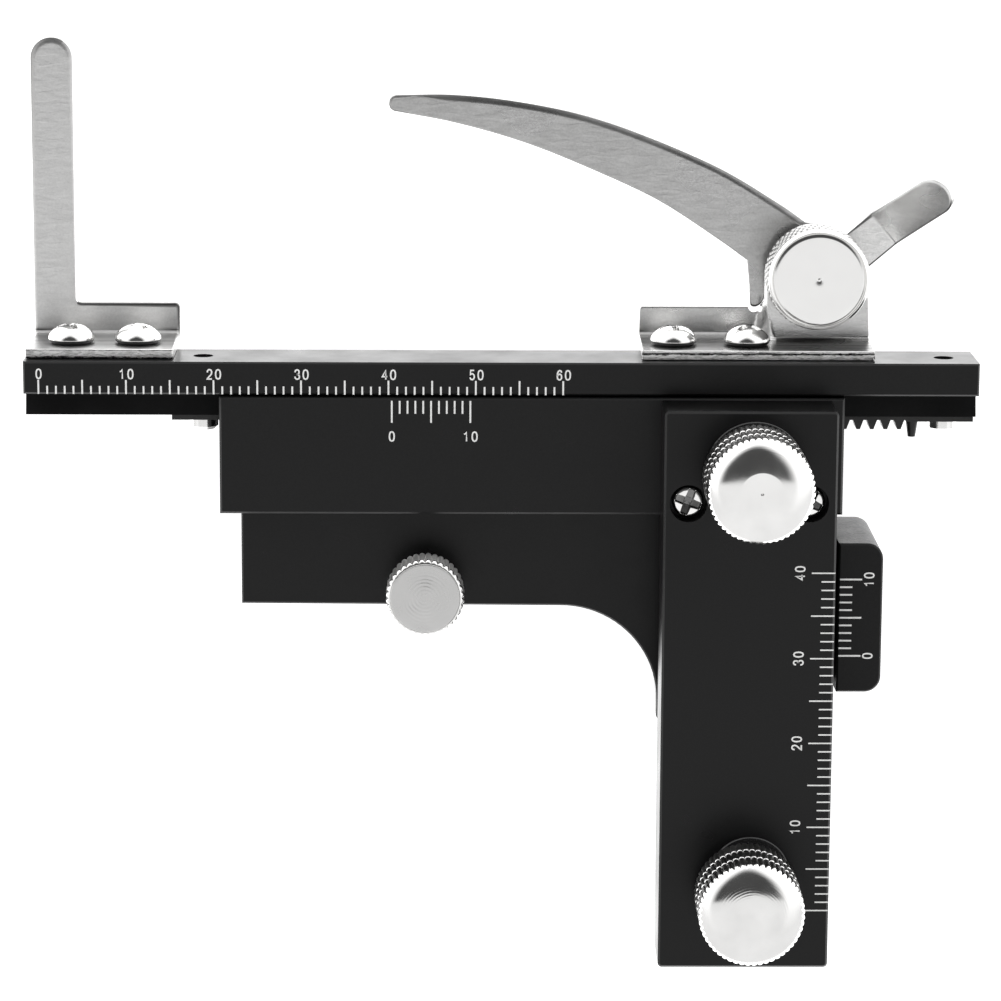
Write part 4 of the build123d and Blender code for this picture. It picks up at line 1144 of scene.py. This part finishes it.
for v in bm.verts:
    x, y = v.co.x, v.co.y
    n = v.co.z + 14.0
    fan = min(max((7.9 - y) / 3.3, 0.0), 1.0)
    x0 = 83.35 - 0.70 * fan
    x1 = 84.02 + 1.05 * fan
    u = min(max((x - x0) / (x1 - x0), 0.0), 1.0)
    lift = LIFT * (u * 0.45 + u * u * (3 - 2 * u) * 0.55)
    p = l_map(v.co, 3.38, t, r_in, -14.0)
    if p.z > -13.5 + 0.71:
        k = (p.z + 12.8) / (Z_FLANGE + 12.8)
        p.z += lift * (1 - min(max(k, 0), 1))
    else:
        p.z += lift
    if 0.0 < u < 1.0 and v.co.y > y_b - 2.0:
        p.x -= 0.35 * (1 - abs(2 * u - 1)) * n
    v.co = round_flange(p, PX0, PX1, 0.9, 0.9, 3.38, -6.0)
tear_layer(bm, 3.38, FLANGE_Y, Z_FLANGE)
ob = to_object("pivot_bracket_sheet", bm, MAT["bracket"], "x_slide", ["pivot_bracket"], angle=30)
split_material(ob, MAT["cut_r"], lambda c, n: c.z > Z_FLANGE - 0.25 and n.z > 0.75)

# ---------------------------------------------------------------- scale marks
STROKES = {  # centre lines of narrow numerals in a box of +-0.5 by +-0.5
    "0": [([(0, .5), (.3, .43), (.44, .24), (.48, 0), (.44, -.24), (.3, -.43), (0, -.5), (-.3, -.43), (-.44, -.24),
            (-.48, 0), (-.44, .24), (-.3, .43)], True)],
    "1": [([(-.42, .24), (-.12, .32), (.06, .5), (.06, -.5)], False)],
    "2": [([(-.44, .2), (-.40, .38), (-.22, .49), (.06, .5), (.32, .42), (.43, .24), (.36, .05), (.14, -.12),
            (-.16, -.27), (-.38, -.42), (-.46, -.5), (.48, -.5)], False)],
    "3": [([(-.43, .24), (-.34, .42), (-.1, .5), (.15, .49), (.36, .38), (.38, .18), (.22, .05), (-.05, .02)], False),
          ([(-.05, .02), (.26, -.02), (.43, -.16), (.45, -.3), (.33, -.44), (.08, -.5), (-.16, -.49), (-.38, -.38),
            (-.46, -.22)], False)],
    "4": [([(.22, -.5), (.22, .5), (-.48, -.2), (.5, -.2)], False)],
    "5": [([(.40, .5), (-.28, .5), (-.38, .0), (-.18, .12), (.08, .14), (.34, .02), (.44, -.18), (.34, -.4), (.06, -.5),
            (-.24, -.46), (-.44, -.26)], False)],
    "6": [([(.42, .28), (.3, .45), (.04, .5), (-.24, .42), (-.42, .14), (-.45, -.14), (-.36, -.38), (-.1, -.5), (.14, -.49),
            (.38, -.36), (.43, -.16), (.32, .04), (.06, .12), (-.2, .08), (-.4, -.08)], False)],
}


def stroke(bm, pts, closed, half, z0, z1):
    """Ribbon of constant width along a centre line, with mitred joints, z0 to z1."""
    pts = [Vector(p) for p in pts]
    k = len(pts)
    rows = []
    for i, p in enumerate(pts):
        a = pts[i - 1] if (i or closed) else None
        c = pts[(i + 1) % k] if (i < k - 1 or closed) else None
        d0 = (p - a).normalized() if a is not None else (c - p).normalized()
        d1 = (c - p).normalized() if c is not None else d0
        n0, n1 = Vector((-d0.y, d0.x)), Vector((-d1.y, d1.x))
        m = (n0 + n1) / max(0.45, 1 + n0.dot(n1))
        row = []
        for s, z in ((half, z0), (half, z1), (-half, z1), (-half, z0)):
            q = p + m * s
            row.append(bm.verts.new((q.x, q.y, z)))
        rows.append(row)
    pairs = list(zip(rows, rows[1:])) + ([(rows[-1], rows[0])] if closed else [])
    for a, c in pairs:
        for j in range(4):
            bm.faces.new((a[j], a[(j + 1) % 4], c[(j + 1) % 4], c[j]))
    if not closed:
        bm.faces.new(rows[0])
        bm.faces.new(rows[-1][::-1])


def marks(name, bars, body, z, digits=()):
    """White-filled lines and numerals, 0.01 mm proud of their face."""
    bm = bmesh.new()
    for x0, x1, y0, y1 in bars:
        lo_v = [bm.verts.new((x, y, z - 0.02)) for x, y in ((x0, y0), (x1, y0), (x1, y1), (x0, y1))]
        hi_v = [bm.verts.new((x, y, z + 0.012)) for x, y in ((x0, y0), (x1, y0), (x1, y1), (x0, y1))]
        bm.faces.new(hi_v)
        bm.faces.new(lo_v[::-1])
        for k in range(4):
            bm.faces.new((lo_v[k], lo_v[(k + 1) % 4], hi_v[(k + 1) % 4], hi_v[k]))
    half = 0.085
    for text, cx, cy, height, width, turn in digits:
        k = len(text)
        cell = 0.74
        pitch = width - cell if k > 1 else 0.0
        for i, ch in enumerate(text):
            off = (i - (k - 1) / 2) * pitch
            for pts, closed in STROKES[ch]:
                line = []
                for a, c in pts:
                    x = off + a * (cell - 2 * half)
                    y = c * (height - 2 * half)
                    if turn:
                        x, y = -y, x
                    line.append((cx + x, cy + y))
                stroke(bm, line, closed, half, z - 0.02, z + 0.012)
    return to_object(name, bm, MAT["paint"], body, weighted=False)


LINE = 0.1                                        # half a line's width
bars = []
for i in range(61):
    bars.append((i - LINE, i + LINE, -0.35, 1.28 if i % 5 == 0 else 0.58))
dig = [("0", 0.05, 1.965, 1.25, 0.80, False)]
for i in range(1, 7):
    dig.append((str(10 * i), 10 * i + 0.05, 1.965, 1.25, 1.70, False))
marks("x_scale", bars, "x_slide", 0.0, dig)

bars = []
for i in range(11):
    x = 40.38 + 0.9 * i
    bars.append((x - LINE, x + LINE, -3.6 if i % 5 == 0 else -2.55, -1.05))
marks("x_vernier", bars, "y_carriage", 0.0,
      [("0", 40.38, -5.2, 1.25, 0.80, False), ("10", 49.4, -5.2, 1.25, 1.70, False)])

bars = []
for i in range(41):
    y = -59.53 + i
    bars.append((88.25 if i % 5 == 0 else 89.38, 90.93, y - 0.08, y + 0.08))
marks("y_scale", bars, "y_carriage", 7.4,
      [(str(10 * i), 86.92, -59.53 + 10 * i, 1.25, 1.70, True) for i in range(0, 5)])

bars = []
for i in range(11):
    y = -29.91 + 0.9 * i
    bars.append((91.78, 94.32 if i % 5 == 0 else 93.22, y - LINE, y + LINE))
marks("y_vernier", bars, "base", 4.45,
      [("0", 95.12, -29.91, 1.25, 0.80, True), ("10", 95.12, -20.91, 1.25, 1.70, True)])
